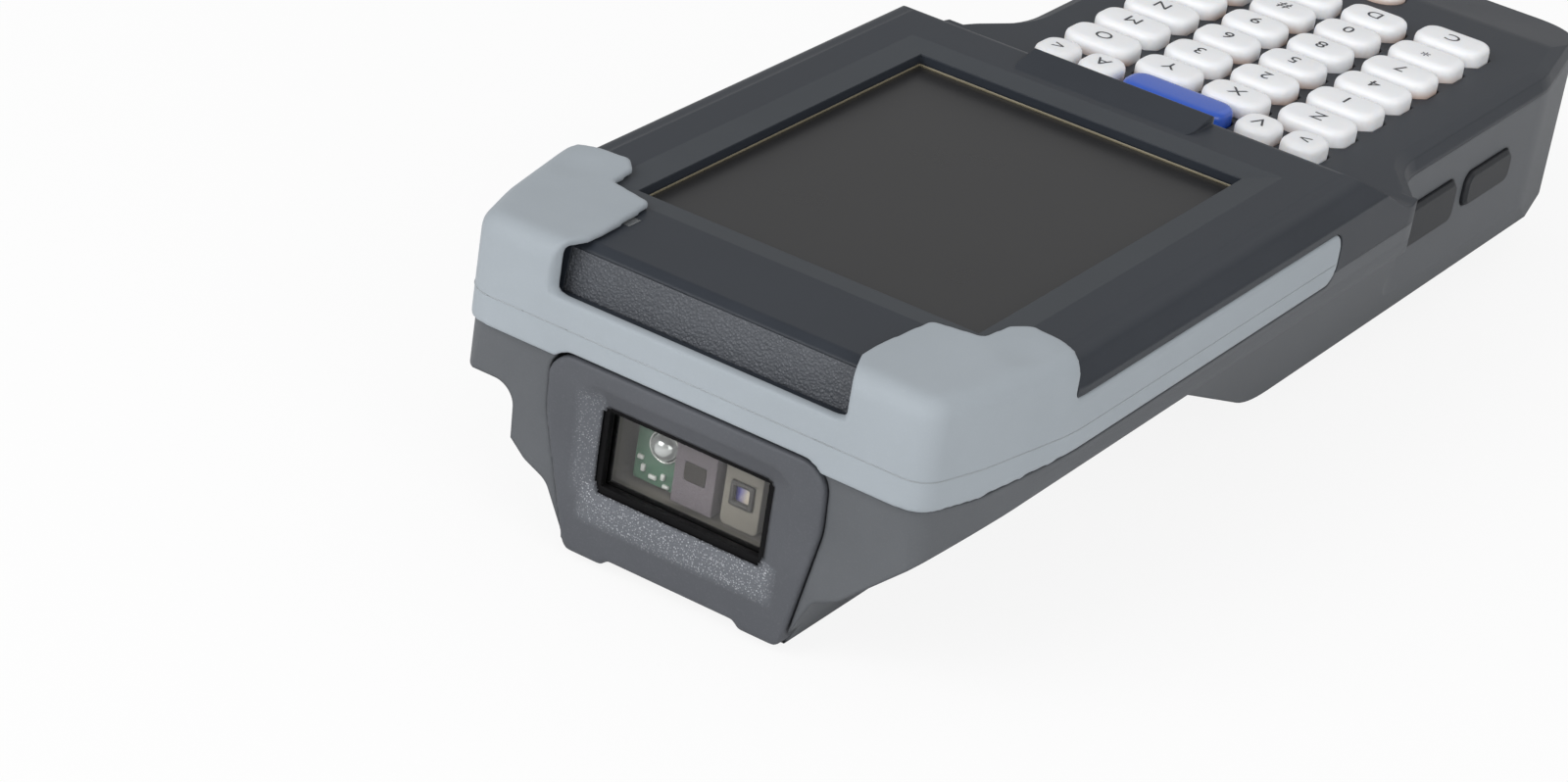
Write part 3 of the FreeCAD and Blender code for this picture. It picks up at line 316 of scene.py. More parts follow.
@dataclass
class Effects:
    """Shader groups that several finishes share, each built once."""

    worn_edge: Pair = (0.01, 0.16)
    worn_noise: Triple = (420.0, 5.0, 0.7)
    worn_patch: Pair = (0.4, 0.7)
    grain_layers: Pair = (3.0, 0.6)
    tone_layers: Pair = (4.0, 0.55)
    fleck_peak: Pair = (0.55, 0.75)
    pebble_noise: Triple = (2600.0, 4.0, 0.75)
    pebble_tip: Pair = (1.12, 1.42)
    dust_upward: Pair = (0.2, 1.0)
    dust_noise: Triple = (900.0, 6.0, 0.8)
    dust_speck: Pair = (0.6, 0.78)
    slope_facing: Pair = (0.55, 0.8)
    slope_low_z: tuple[Pair, ...] = ((0.0062, 0.0076), (0.0122, 0.0126))
    slope_low_x: Pair = (0.0142, 0.0160)
    slope_left_x: tuple[Pair, ...] = ((-0.0172, -0.0160), (-0.0131, -0.0128))
    slope_left_z: tuple[Pair, ...] = ((0.0095, 0.0125), (0.0250, 0.0270))
    key_foot_z: float = 0.0358
    key_foot_fade: float = 0.0006
    key_foot_noise: Pair = (55.0, 2.0)
    key_foot_patch: Pair = (0.42, 0.6)

    def __post_init__(self) -> None:
        """Build every group."""
        self.edge_wear = self._edge_wear()
        self.mould_grain = self._mould_grain()
        self.sparkle = self._sparkle()
        self.dust = self._dust()
        self.slope = self._slope()
        self.foot = self._foot()

    @staticmethod
    def _group(name: str, inputs: dict[str, float],
               outputs: dict[str, str]) -> tuple[Tree, Sheet, Node, Node]:
        """Start a group with named sockets.

        Args:
            name: The group's name.
            inputs: Float inputs with their defaults.
            outputs: Output names with their socket types.

        Returns:
            The tree, its sheet, its input node and its output node.
        """
        tree = bpy.data.node_groups.new(name, "ShaderNodeTree")
        for label, default in inputs.items():
            socket = tree.interface.new_socket(name=label, in_out="INPUT", socket_type=NUMBER)
            socket.default_value = default
        for label, kind in outputs.items():
            tree.interface.new_socket(name=label, in_out="OUTPUT", socket_type=kind)
        sheet = Sheet(tree)
        return tree, sheet, sheet.add("NodeGroupInput"), sheet.add("NodeGroupOutput")

    def _edge_wear(self) -> Tree:
        """Mask of rubbed edges and a normal that rounds them.

        Returns:
            The group's tree.
        """
        tree, sheet, source, sink = self._group(
            "edge_wear", {"Radius": 0.0004, "Break Up": 0.5},
            {"Mask": NUMBER, "Rounded Normal": "NodeSocketVector"})
        bevel = sheet.add("Bevel", samples=6)
        sheet.join(source.outputs["Radius"], bevel.inputs["Radius"])
        flat = sheet.add("NewGeometry")
        dot = sheet.add("VectorMath", operation="DOT_PRODUCT")
        sheet.join(bevel.outputs["Normal"], dot.inputs[0])
        sheet.join(flat.outputs["True Normal"], dot.inputs[1])
        edge = sheet.ramp(sheet.math("SUBTRACT", 1.0, dot.outputs["Value"]), *self.worn_edge)
        patch = sheet.ramp(sheet.noise(*self.worn_noise), *self.worn_patch)
        patch = sheet.times(patch, source.outputs["Break Up"])
        sheet.join(sheet.times(edge, patch), sink.inputs["Mask"])
        sheet.join(bevel.outputs["Normal"], sink.inputs["Rounded Normal"])
        return tree

    def _mould_grain(self) -> Tree:
        """Fine spark-eroded grain, with a slow change of tone.

        Returns:
            The group's tree.
        """
        tree, sheet, source, sink = self._group(
            "mould_grain", {"Grain Scale": 3500.0, "Tone Scale": 60.0},
            {"Height": NUMBER, "Tone": NUMBER, "Fleck": NUMBER})
        fine = sheet.noise(source.outputs["Grain Scale"], *self.grain_layers)
        sheet.join(fine, sink.inputs["Height"])
        slow = sheet.noise(source.outputs["Tone Scale"], *self.tone_layers)
        sheet.join(slow, sink.inputs["Tone"])
        sheet.join(sheet.ramp(fine, *self.fleck_peak), sink.inputs["Fleck"])
        return tree

    def _sparkle(self) -> Tree:
        """Coarse pebbled texture, with a mask of its tips where the finishes paint glints.

        Returns:
            The group's tree.
        """
        tree, sheet, source, sink = self._group(
            "sparkle", {"Pebble Scale": 2600.0},
            {"Height": NUMBER, "Tips": NUMBER})
        pebble = sheet.add("TexVoronoi", {"Randomness": 1.0}, feature="F1")
        sheet.join(sheet.place(), pebble.inputs["Vector"])
        sheet.join(source.outputs["Pebble Scale"], pebble.inputs["Scale"])
        dome = sheet.math("SUBTRACT", 1.0, pebble.outputs["Distance"])
        height = sheet.math("ADD", dome, sheet.noise(*self.pebble_noise))
        sheet.join(height, sink.inputs["Height"])
        sheet.join(sheet.ramp(height, *self.pebble_tip), sink.inputs["Tips"])
        return tree

    def _slope(self) -> Tree:
        """Mask of the scan bezel's sunken slopes, below and left of the window, where light and glints are
        painted.

        Returns:
            The group's tree.
        """
        tree, sheet, source, sink = self._group("slope", {"Side Share": 0.5}, MASK)
        facing = sheet.axes(sheet.add("NewGeometry").outputs["Normal"])
        forward = sheet.ramp(sheet.times(facing["Y"], -1.0), *self.slope_facing)
        axis = sheet.axes(sheet.place())
        inner = sheet.fall(sheet.math("ABSOLUTE", axis["X"]), *self.slope_low_x)
        below = sheet.times(sheet.band(axis["Z"], *self.slope_low_z), inner)
        left = sheet.times(sheet.band(axis["X"], *self.slope_left_x), source.outputs["Side Share"])
        left = sheet.times(left, sheet.band(axis["Z"], *self.slope_left_z))
        mask = sheet.times(sheet.math("MAXIMUM", below, left), forward)
        sheet.join(mask, sink.inputs["Mask"])
        return tree

    def _foot(self) -> Tree:
        """Mask of the foot of a key, where an amber glow is painted into the key's colour.

        Returns:
            The group's tree.
        """
        tree, sheet, source, sink = self._group("foot", {"Level": self.key_foot_z}, MASK)
        above = sheet.math("SUBTRACT", sheet.axes(sheet.place())["Z"], source.outputs["Level"])
        fade = sheet.fall(above, -self.key_foot_fade, self.key_foot_fade)
        patch = sheet.ramp(sheet.noise(*self.key_foot_noise), *self.key_foot_patch)
        sheet.join(sheet.times(fade, patch), sink.inputs["Mask"])
        return tree

    def _dust(self) -> Tree:
        """Pale dust that settles on faces that look up.

        Returns:
            The group's tree.
        """
        tree, sheet, source, sink = self._group("dust", {"Amount": 0.1}, MASK)
        facing = sheet.axes(sheet.add("NewGeometry").outputs["Normal"])
        speck = sheet.ramp(sheet.noise(*self.dust_noise), *self.dust_speck)
        grains = sheet.times(sheet.ramp(facing["Z"], *self.dust_upward), speck)
        sheet.join(sheet.times(grains, source.outputs["Amount"]), sink.inputs["Mask"])
        return tree


@dataclass(frozen=True)
class Finish:
    """One moulded, coated or metal finish of the terminal."""

    name: str
    colour: Triple
    rough: float = 0.5
    grain: Grain = Grain.FINE
    grain_scale: float = 3500.0
    grain_depth: float = 0.00004
    tone: float = 0.08
    fleck: float = 0.05
    wear: float = 0.0
    edge_radius: float = 0.0004
    dust: float = 0.06
    metallic: float = 0.0
    coat: float = 0.0
    sheen: float = 0.0
    subsurface: float = 0.0
    specular: float = 0.5
    slope_glint_share: float = 0.0
    painted_foot_glow: float = 0.0

    def material(self, effects: Effects) -> Material:
        """Build the finish as a node material.

        Args:
            effects: The shared shader groups.

        Returns:
            The finished material.
        """
        made, sheet, out = new_material(self.name)
        shader = sheet.add("BsdfPrincipled")
        sheet.join(shader.outputs["BSDF"], out.inputs["Surface"])
        self._set_plain(shader)
        light = tuple(min(1.0, part * (1.0 + self.tone) + LIGHT_LIFT) for part in self.colour)
        dark = tuple(part * (1.0 - self.tone) for part in self.colour)
        pale = tuple(min(1.0, part * PALE_GAIN + PALE_LIFT) for part in self.colour)
        grain = sheet.add("Group", {"Grain Scale": self.grain_scale}, node_tree=effects.mould_grain)
        colour = sheet.mix(sheet.ramp(grain.outputs["Tone"], *TONE_SPREAD), (*dark, 1.0), (*light, 1.0))
        fleck = sheet.times(grain.outputs["Fleck"], self.fleck)
        colour = sheet.mix(fleck, colour, (*pale, 1.0))
        height = grain.outputs["Height"]
        if self.grain is Grain.SPARKLE:
            sparkle = sheet.add("Group", {"Pebble Scale": self.grain_scale}, node_tree=effects.sparkle)
            height = sparkle.outputs["Height"]
            # Painted glints: the pebbles' tips are mixed towards a paler colour
            tip_glints = sheet.times(sparkle.outputs["Tips"], TIP_GLINT_SHARE)
            colour = sheet.mix(tip_glints, colour, (*pale, 1.0))
        if self.slope_glint_share > 0.0:
            colour, height = self._slopes(sheet, effects, colour, height)
        # Painted amber glow at the foot of a key
        if self.painted_foot_glow > 0.0:
            foot = sheet.add("Group", node_tree=effects.foot)
            glow = sheet.times(foot.outputs["Mask"], self.painted_foot_glow)
            colour = sheet.mix(glow, colour, PAINTED_GLOW_COLOUR)
        edge = sheet.add("Group", {"Radius": self.edge_radius, "Break Up": self.wear},
                         node_tree=effects.edge_wear)
        colour = sheet.mix(edge.outputs["Mask"], colour, (*pale, 1.0))
        dust = sheet.add("Group", {"Amount": self.dust}, node_tree=effects.dust)
        colour = sheet.mix(dust.outputs["Mask"], colour, DUST_COLOUR)
        sheet.join(colour, shader.inputs["Base Color"])
        spread = sheet.times(sheet.math("SUBTRACT", grain.outputs["Tone"], 0.5), ROUGH_SPREAD)
        sheet.join(sheet.math("ADD", spread, self.rough), shader.inputs["Roughness"])
        bump = sheet.add("Bump", {"Strength": 1.0, "Distance": self.grain_depth})
        sheet.join(height, bump.inputs["Height"])
        sheet.join(edge.outputs["Rounded Normal"], bump.inputs["Normal"])
        sheet.join(bump.outputs["Normal"], shader.inputs["Normal"])
        made.diffuse_color = (*self.colour, 1.0)
        return made

    def _slopes(self, sheet: Sheet, effects: Effects, colour: Socket,
                height: Socket) -> tuple[Socket, Socket]:
        """Lay a pebbled texture over the bezel's slopes, with painted light and painted glints on its
        pebbles.

        Args:
            sheet: The material's sheet.
            effects: The shared shader groups.
            colour: Colour so far.
            height: Height so far.

        Returns:
            The new colour and the new height.
        """
        slope = sheet.add("Group", node_tree=effects.slope).outputs["Mask"]
        sparkle = sheet.add("Group", {"Pebble Scale": SLOPE_GRAIN}, node_tree=effects.sparkle)
        glint = sheet.times(sparkle.outputs["Tips"], slope)
        glint = sheet.times(glint, self.slope_glint_share)
        # Painted light on the slopes, then painted glints on their pebbles
        colour = sheet.mix(sheet.times(slope, SLOPE_LIGHT_SHARE), colour, SLOPE_LIGHT_COLOUR)
        colour = sheet.mix(glint, colour, GLINT_COLOUR)
        rise = sheet.times(sparkle.outputs["Height"], slope)
        return colour, sheet.math("ADD", height, sheet.times(rise, SLOPE_RISE))

    def _set_plain(self, shader: Node) -> None:
        """Set the values that are the same all over on the shader's own sockets.

        Args:
            shader: The material's Principled shader.
        """
        values = {"Metallic": self.metallic, "Coat Weight": self.coat, "Coat Roughness": COAT_ROUGH,
                  "Sheen Weight": self.sheen, "Specular IOR Level": self.specular}
        if self.subsurface > 0.0:
            values |= {"Subsurface Weight": self.subsurface, "Subsurface Radius": SCATTER_SHARES,
                       "Subsurface Scale": SCATTER_REACH}
        for name, value in values.items():
            shader.inputs[name].default_value = value


@dataclass(frozen=True)
class ClearFinish:
    """A see-through finish: window glass or acrylic."""

    name: str
    tint: Triple
    rough: float
    see_through: float
    smear: float = 0.03

    def material(self, effects: Effects) -> Material:
        """Build the finish as a node material.

        Args:
            effects: The shared shader groups.

        Returns:
            The finished material.
        """
        made, sheet, out = new_material(self.name)
        shader = sheet.add("BsdfPrincipled", {"Transmission Weight": self.see_through, "IOR": GLASS_INDEX})
        clear = sheet.add("BsdfTransparent")
        shadow = sheet.add("LightPath").outputs["Is Shadow Ray"]
        share = sheet.times(shadow, GLASS_SHADOW_SHARE)
        sheet.blend(share, shader.outputs["BSDF"], clear.outputs[0], out.inputs["Surface"])
        grain = sheet.add("Group", {"Grain Scale": GLASS_TONE_SCALE}, node_tree=effects.mould_grain)
        deep = tuple(part * GLASS_SHADE for part in self.tint)
        colour = sheet.mix(grain.outputs["Tone"], (*deep, 1.0), (*self.tint, 1.0))
        sheet.join(colour, shader.inputs["Base Color"])
        smear = sheet.times(grain.outputs["Height"], self.smear)
        sheet.join(sheet.math("ADD", smear, self.rough), shader.inputs["Roughness"])
        return made


@dataclass
class PhotoCamera:
    """The camera of the photograph, fitted to the display opening."""

    azimuth: float = 29.617
    elevation: float = 27.146
    roll: float = 9.057
    focal_px: float = 4432.4
    place: Triple = (0.25179, -0.52658, 0.28512)
    sensor: float = 36.0
    nearest: float = 0.01

    def build(self) -> Object:
        """Make the camera and set it as the scene's.

        Returns:
            The camera object.
        """
        turn = math.radians(self.azimuth)
        lift = math.radians(self.elevation)
        lean = math.radians(self.roll)
        back = Vector((math.sin(turn) * math.cos(lift), -math.cos(turn) * math.cos(lift), math.sin(lift)))
        right = Vector((math.cos(turn), math.sin(turn), 0.0))
        above = back.cross(right)
        rolled_right = right * math.cos(lean) + above * math.sin(lean)
        rolled_above = above * math.cos(lean) - right * math.sin(lean)
        lens = bpy.data.cameras.new("photo_camera")
        lens.sensor_width = self.sensor
        lens.lens = self.focal_px / PHOTO_WIDTH_PX * self.sensor
        lens.clip_start = self.nearest
        camera = placed("photo_camera", lens)
        axes = Matrix((rolled_right, rolled_above, back)).transposed().to_4x4()
        camera.matrix_world = Matrix.Translation(Vector(self.place)) @ axes
        bpy.context.scene.camera = camera
        return camera


@dataclass
class Studio:
    """Plain pale floor, soft lamps and a white surround."""

    floor_half: float = 3.0
    floor_gap: float = 0.0002
    floor_pale: float = 0.9
    floor_glow: float = 0.88
    world_level: float = 0.52
    aim: Triple = (0.0, -0.02, 0.02)
    lamps: tuple[tuple[str, Triple, float, float], ...] = (
        ("key_lamp", (-0.5, -1.2, 0.9), 1.0, 13.5),
        ("fill_lamp", (1.1, -0.6, 0.5), 0.9, 5.5),
        ("rear_lamp", (0.2, 1.4, 1.1), 1.2, 1.5),
    )

    def build(self) -> None:
        """Make the floor, the lamps and the world."""
        self._floor()
        for lamp in self.lamps:
            self._lamp(*lamp)
        self._world()

    def _floor(self) -> None:
        """Make the floor sheet, white to the camera and pale to the lamps."""
        mesh = bpy.data.meshes.new("floor")
        half = self.floor_half
        low = -self.floor_gap
        corners = [(-half, -half, low), (half, -half, low), (half, half, low), (-half, half, low)]
        mesh.from_pydata(corners, [], [(0, 1, 2, 3)])
        floor = placed("floor", mesh)
        made, sheet, out = new_material("floor_white")
        matt = sheet.add("BsdfDiffuse", {"Color": (self.floor_pale, self.floor_pale, self.floor_pale, 1.0)})
        glow = sheet.add("Emission", {"Color": WHITE, "Strength": 1.0})
        seen = sheet.add("LightPath").outputs["Is Camera Ray"]
        share = sheet.times(seen, self.floor_glow)
        sheet.blend(share, matt.outputs[0], glow.outputs[0], out.inputs["Surface"])
        mesh.materials.append(made)
        floor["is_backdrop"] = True

    def _lamp(self, name: str, place: Triple, size: float, power: float) -> None:
        """Hang one square soft lamp that looks at the object.

        Args:
            name: The lamp's name.
            place: Where it hangs.
            size: Its side length.
            power: Its power in watts.
        """
        data = bpy.data.lights.new(name, "AREA")
        data.size = size
        data.energy = power
        lamp = placed(name, data)
        lamp.location = place
        line = Vector(self.aim) - Vector(place)
        lamp.rotation_euler = line.to_track_quat("-Z", "Y").to_euler()

    def _world(self) -> None:
        """Light the surround evenly and show it white to the camera."""
        world = bpy.data.worlds.new("surround")
        bpy.context.scene.world = world
        world.use_nodes = True
        sheet = Sheet(world.node_tree)
        out = sheet.add("OutputWorld")
        light = sheet.add("Background", {"Color": WHITE, "Strength": self.world_level})
        white = sheet.add("Background", {"Color": WHITE, "Strength": 1.0})
        seen = sheet.add("LightPath").outputs["Is Camera Ray"]
        sheet.blend(seen, light.outputs[0], white.outputs[0], out.inputs["Surface"])


@dataclass(frozen=True)
class CoatedFinish:
    """Interference coating of a lens, blue at one side and cream at the other."""

    name: str = "lens_coating"
    node: str = "imager_lens"
    near: Four = (0.10, 0.10, 0.42, 1.0)
    far: Four = (0.62, 0.55, 0.46, 1.0)
    rim: float = 0.0007
    across_share: float = 0.75
    down_share: float = 0.25
    cloud: float = 0.2
    cloud_noise: Pair = (900.0, 1.0)
    rough: float = 0.08
    coat: float = 0.6
    spread: Pair = (0.25, 0.65)

    def material(self, effects: Effects) -> Material:
        """Build the finish as a node material.

        Args:
            effects: The shared shader groups, of which this finish uses none.

        Returns:
            The finished material.
        """
        low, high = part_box(self.node)
        made, sheet, out = new_material(self.name)
        shader = sheet.add("BsdfPrincipled", {"Roughness": self.rough, "Coat Weight": self.coat})
        sheet.join(shader.outputs["BSDF"], out.inputs["Surface"])
        axis = sheet.axes(sheet.place())
        across = sheet.ramp(axis["X"], low[0] + self.rim, high[0] - self.rim)
        down = sheet.ramp(sheet.times(axis["Z"], -1.0), -high[2], -low[2])
        share = sheet.math("ADD", sheet.times(across, self.across_share), sheet.times(down, self.down_share))
        cloud = sheet.math("SUBTRACT", sheet.noise(*self.cloud_noise), 0.5)
        share = sheet.math("ADD", share, sheet.times(cloud, self.cloud))
        colour = sheet.mix(sheet.ramp(share, *self.spread), self.near, self.far)
        sheet.join(colour, shader.inputs["Base Color"])
        return made


AnyFinish = Finish | ClearFinish | CoatedFinish


class Dresser:
    """Gives finishes to the frame's nodes and to new pieces."""

    def __init__(self, effects: Effects) -> None:
        """Keep the shared shader groups."""
        self.effects = effects
        self.made: dict[str, Material] = {}

    def get(self, finish: AnyFinish) -> Material:
        """Material of a finish, built on first use.

        Args:
            finish: The finish.

        Returns:
            Its material.
        """
        if finish.name not in self.made:
            self.made[finish.name] = finish.material(self.effects)
        return self.made[finish.name]

    def nodes(self, finishes: dict[str, AnyFinish]) -> None:
        """Put finishes on nodes of the frame.

        Args:
            finishes: Finish of each node by its name.
        """
        for name, finish in finishes.items():
            data = frame["nodes"][name].data
            material = self.get(finish)
            for slot in frame["nodes"][name].material_slots:
                slot.material = material
            if not data.materials:
                data.materials.append(material)
            LOG.info("node %s finished in %s", name, finish.name)


COVER = Finish("cover_satin", (0.021, 0.026, 0.035), rough=0.42, grain_scale=5200.0, grain_depth=0.000012,
               tone=0.05, fleck=0.03, wear=0.12, edge_radius=0.0005, dust=0.02, specular=0.28)
# Display border: a matt finish with a lighter colour that is painted light
BORDER_PAINTED_LIGHT = Finish("border_matt_painted_light", (0.046, 0.052, 0.060), rough=0.55, grain_scale=4800.0, grain_depth=0.00001,
                tone=0.04, wear=0.1, edge_radius=0.0003, dust=0.01, specular=0.25)
CASE = Finish("case_matt", (0.105, 0.112, 0.122), rough=0.55, grain_scale=4200.0, grain_depth=0.00003,
              tone=0.06, fleck=0.10, wear=0.12, edge_radius=0.0008, specular=0.3)
BUMPER = Finish("bumper_rubber", (0.335, 0.372, 0.405), rough=0.66, grain_scale=4600.0, grain_depth=0.00002,
                tone=0.03, fleck=0.054, edge_radius=0.0005, sheen=0.06, dust=0.02, specular=0.3)
# Parting line: a real raised line, coloured lighter as a painted highlight
PARTING_HIGHLIGHT = Finish("parting_flash_painted_highlight", (0.420, 0.455, 0.480), rough=0.6, specular=0.3)
TEXTURE = Finish("panel_sparkle", (0.078, 0.084, 0.096), rough=0.38, grain=Grain.SPARKLE, grain_scale=2600.0,
                 grain_depth=0.00014, wear=0.1, specular=0.4)
# Bezel: painted light and painted glints on the slopes round the window
BEZEL = Finish("bezel_matt", (0.084, 0.089, 0.101), rough=0.52, grain_scale=3200.0, grain_depth=0.00004,
               tone=0.05, fleck=0.168, edge_radius=0.0005, specular=0.3, slope_glint_share=0.55)
GASKET = Finish("gasket_rubber", (0.003, 0.003, 0.0035), rough=0.5, dust=0.0, specular=0.08)
OPTICS = Finish("optics_taupe", (0.150, 0.138, 0.120), rough=0.6, dust=0.0)
LAMP = Finish("lamp_reflector", (0.78, 0.79, 0.78), rough=0.15, metallic=1.0)
DOME = Finish("lamp_dome", (0.62, 0.65, 0.66), rough=0.06, grain_depth=0.000001, coat=1.0, metallic=0.55,
              dust=0.0)
PART_WHITE = Finish("part_ceramic", (0.60, 0.62, 0.60), rough=0.3, dust=0.0)
AIMER = Finish("aimer_grain", (0.140, 0.120, 0.140), rough=0.5, grain=Grain.SPARKLE, grain_scale=3600.0,
               wear=0.25, dust=0.0)
SLIT = Finish("slit_brown", (0.035, 0.030, 0.028), rough=0.5, dust=0.0, specular=0.2)
CAMERA = Finish("camera_grey", (0.205, 0.190, 0.165), rough=0.42, dust=0.0)
HOOD = Finish("camera_hood", (0.045, 0.043, 0.042), rough=0.4, dust=0.0)
BOARD = Finish("board_green", (0.060, 0.150, 0.095), rough=0.35, coat=0.5, dust=0.0)
SEAL = Finish("seal_gold", (0.240, 0.210, 0.140), rough=0.4, dust=0.0)
SCREEN = Finish("screen_film", (0.019, 0.019, 0.020), rough=0.3, grain_depth=0.000001, tone=0.02, fleck=0.0,
                dust=0.004, specular=0.3)
PANEL = Finish("panel_can", (0.50, 0.50, 0.51), rough=0.35, metallic=1.0)
STATUS = Finish("status_smoke", (0.120, 0.125, 0.130), rough=0.2)
MAT = Finish("mat_silicone", (0.020, 0.021, 0.023), rough=0.7)
# Keys: painted amber glow at their feet
KEY = Finish("key_white", (0.86, 0.87, 0.89), rough=0.38, grain_scale=5000.0, grain_depth=0.000006,
             tone=0.02, fleck=0.02, edge_radius=0.0003, subsurface=0.5, dust=0.01, painted_foot_glow=0.55)
SCAN_KEY = Finish("key_blue", (0.016, 0.090, 0.52), rough=0.25, tone=0.03, edge_radius=0.0003, coat=0.4,
                  dust=0.01)
LEGEND = Finish("legend_ink", (0.035, 0.037, 0.045), rough=0.5, dust=0.0)
BUTTON = Finish("button_black", (0.016, 0.018, 0.022), rough=0.5, wear=0.1, specular=0.35)
BATTERY = Finish("battery_matt", (0.040, 0.044, 0.052), rough=0.55, wear=0.2, specular=0.35)
STEEL = Finish("screw_steel", (0.46, 0.46, 0.48), rough=0.3, metallic=1.0)
CONNECTOR = Finish("connector_black", (0.018, 0.018, 0.020), rough=0.35)
SPEAKER = Finish("speaker_black", (0.030, 0.030, 0.032), rough=0.7)
WINDOW = ClearFinish("window_clear", (0.96, 0.96, 0.94), 0.01, 1.0)
PIPE = ClearFinish("pipe_acrylic", (0.95, 0.95, 0.95), 0.05, 1.0)
LENS = CoatedFinish()


def rounded_loop(half_x: float, half_y: float, radius: float, steps: int = 8) -> list[Pair]:
    """Points of a rounded rectangle about the origin.

    Args:
        half_x: Half its width.
        half_y: Half its length.
        radius: Corner radius.
        steps: Divisions of each corner.

    Returns:
        Its points, anticlockwise.
    """
    radius = min(radius, half_x, half_y)
    points = []
    for sign_x, sign_y, start in ((1, 1, 0.0), (-1, 1, 90.0), (-1, -1, 180.0), (1, -1, 270.0)):
        for step in range(steps + 1):
            turn = math.radians(start + 90.0 * step / steps)
            across = sign_x * (half_x - radius) + radius * math.cos(turn)
            along = sign_y * (half_y - radius) + radius * math.sin(turn)
            points.append((across, along))
    return points


def placed(name: str, data: bpy.types.ID) -> Object:
    """Put new data in the scene as an object.

    Args:
        name: The object's name.
        data: Its mesh, curve, lamp or camera.

    Returns:
        The object.
    """
    made = bpy.data.objects.new(name, data)
    bpy.context.scene.collection.objects.link(made)
    return made


def middle(node: str) -> Triple:
    """Middle of a node's box."""
    return tuple((low + high) / 2.0 for low, high in zip(*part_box(node)))


def clamp(value: float, low: float = 0.0, high: float = 1.0) -> float:
    """Keep a value between two limits."""
    return min(high, max(low, value))


def body_name(node: str) -> str:
    """Name of the body that a node rides on."""
    holder = frame["nodes"][node].parent
    return next(name for name, empty in frame["bodies"].items() if empty is holder)


class Maker:
    """Turns lists of points into finished pieces that ride on a body."""

    def __init__(self, dresser: Dresser) -> None:
        """Keep the dresser that supplies materials."""
        self.dresser = dresser

    def piece(self, name: str, mesh: Mesh, finish: AnyFinish, body: str,
              hides: tuple[str, ...] = (), crease: float = 35.0) -> Object:
        """Finish one mesh and tie it to its body.

        Args:
            name: The piece's name.
            mesh: Its mesh, in the row frame.
            finish: Its finish.
            body: The body that carries it.
            hides: Nodes of the frame that it stands for.
            crease: Angle above which an edge stays sharp, in degrees.

        Returns:
            The piece's object.
        """
        mesh.name = name
        mesh.materials.clear()
        mesh.materials.append(self.dresser.get(finish))
        mesh.polygons.foreach_set("use_smooth", [True] * len(mesh.polygons))
        mesh.set_sharp_from_angle(angle=math.radians(crease))
        made = placed(name, mesh)
        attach(made, body)
        if hides:
            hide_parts(*hides)
        LOG.info("piece %s made with %d faces", name, len(mesh.polygons))
        return made

    @staticmethod
    def rings(loops: list[list[Triple]], closed: bool = False) -> Mesh:
        """Skin a form through loops of equal length.

        Args:
            loops: Loops of points, from the lower end to the upper one.
            closed: Whether the last loop joins the first, as in a frame, instead of two flat ends.

        Returns:
            The mesh, without open edges.
        """
        count = len(loops[0])
        points = [point for loop in loops for point in loop]
        faces = []
        for row in range(len(loops) if closed else len(loops) - 1):
            base = row * count
            upper = (row + 1) % len(loops) * count
            for index in range(count):
                following = (index + 1) % count
                faces.append((base + index, base + following, upper + following, upper + index))
        if not closed:
            faces.insert(0, tuple(reversed(range(count))))
            faces.append(tuple(range((len(loops) - 1) * count, len(loops) * count)))
        mesh = bpy.data.meshes.new("rings")
        mesh.from_pydata(points, [], faces)
        if closed:
            return mesh
        shape = bmesh.new()
        shape.from_mesh(mesh)
        bmesh.ops.remove_doubles(shape, verts=shape.verts, dist=SAME_PLACE)
        bmesh.ops.recalc_face_normals(shape, faces=shape.faces)
        shape.to_mesh(mesh)
        shape.free()
        return mesh

    @staticmethod
    def remeshed(node: str, voxel: float, passes: int) -> Mesh:
        """Copy a node's mesh with even small faces and softened edges.

        Args:
            node: The node to copy.
            voxel: Size of the new faces.
            passes: Smoothing passes.

        Returns:
            The new mesh.
        """
        carrier = placed("carrier", frame["nodes"][node].data.copy())
        even = carrier.modifiers.new("even", "REMESH")
        even.mode = "VOXEL"
        even.voxel_size = voxel
        soft = carrier.modifiers.new("soft", "SMOOTH")
        soft.factor = 0.5
        soft.iterations = passes
        bpy.context.view_layer.update()
        graph = bpy.context.evaluated_depsgraph_get()
        mesh = bpy.data.meshes.new_from_object(carrier.evaluated_get(graph))
        bpy.data.objects.remove(carrier)
        return mesh


@dataclass
class Casings:
    """Top cover, lower case and front strip."""

    border_z: Pair = (0.04295, 0.04372)
    border_reach: float = 0.0046
    border_tilt: Pair = (0.9, 0.99995)
    finishes: dict[str, Finish] = field(default_factory=lambda: {
        "bottom_case": CASE, "front_panel": TEXTURE, "window_gasket": GASKET, "case_screws": STEEL,
        "dock_connector": CONNECTOR, "speaker": SPEAKER, "status_lens": STATUS,
    })

    def dress(self, dresser: Dresser) -> None:
        """Put each casing's finish on its node and build the cover."""
        dresser.nodes(self.finishes)
        self._cover(dresser)

    def _cover(self, dresser: Dresser) -> None:
        """Copy the top cover and give its display border its own finish, a lighter colour that is painted
        light.

        Args:
            dresser: The dresser that supplies materials.
        """
        mesh = frame["nodes"]["top_cover"].data.copy()
        Maker(dresser).piece("cover_shell", mesh, COVER, "housing", ("top_cover",))
        # Sloped border faces take the lighter finish, painted light
        mesh.materials.append(dresser.get(BORDER_PAINTED_LIGHT))
        low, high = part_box("display_seal")
        for face in mesh.polygons:
            inside = all(low[axis] - self.border_reach < face.center[axis] < high[axis] + self.border_reach
                         for axis in (0, 1))
            tilted = self.border_tilt[0] < face.normal.z < self.border_tilt[1]
            sloped = tilted and self.border_z[0] < face.center.z < self.border_z[1]
            face.material_index = 1 if inside and sloped else 0


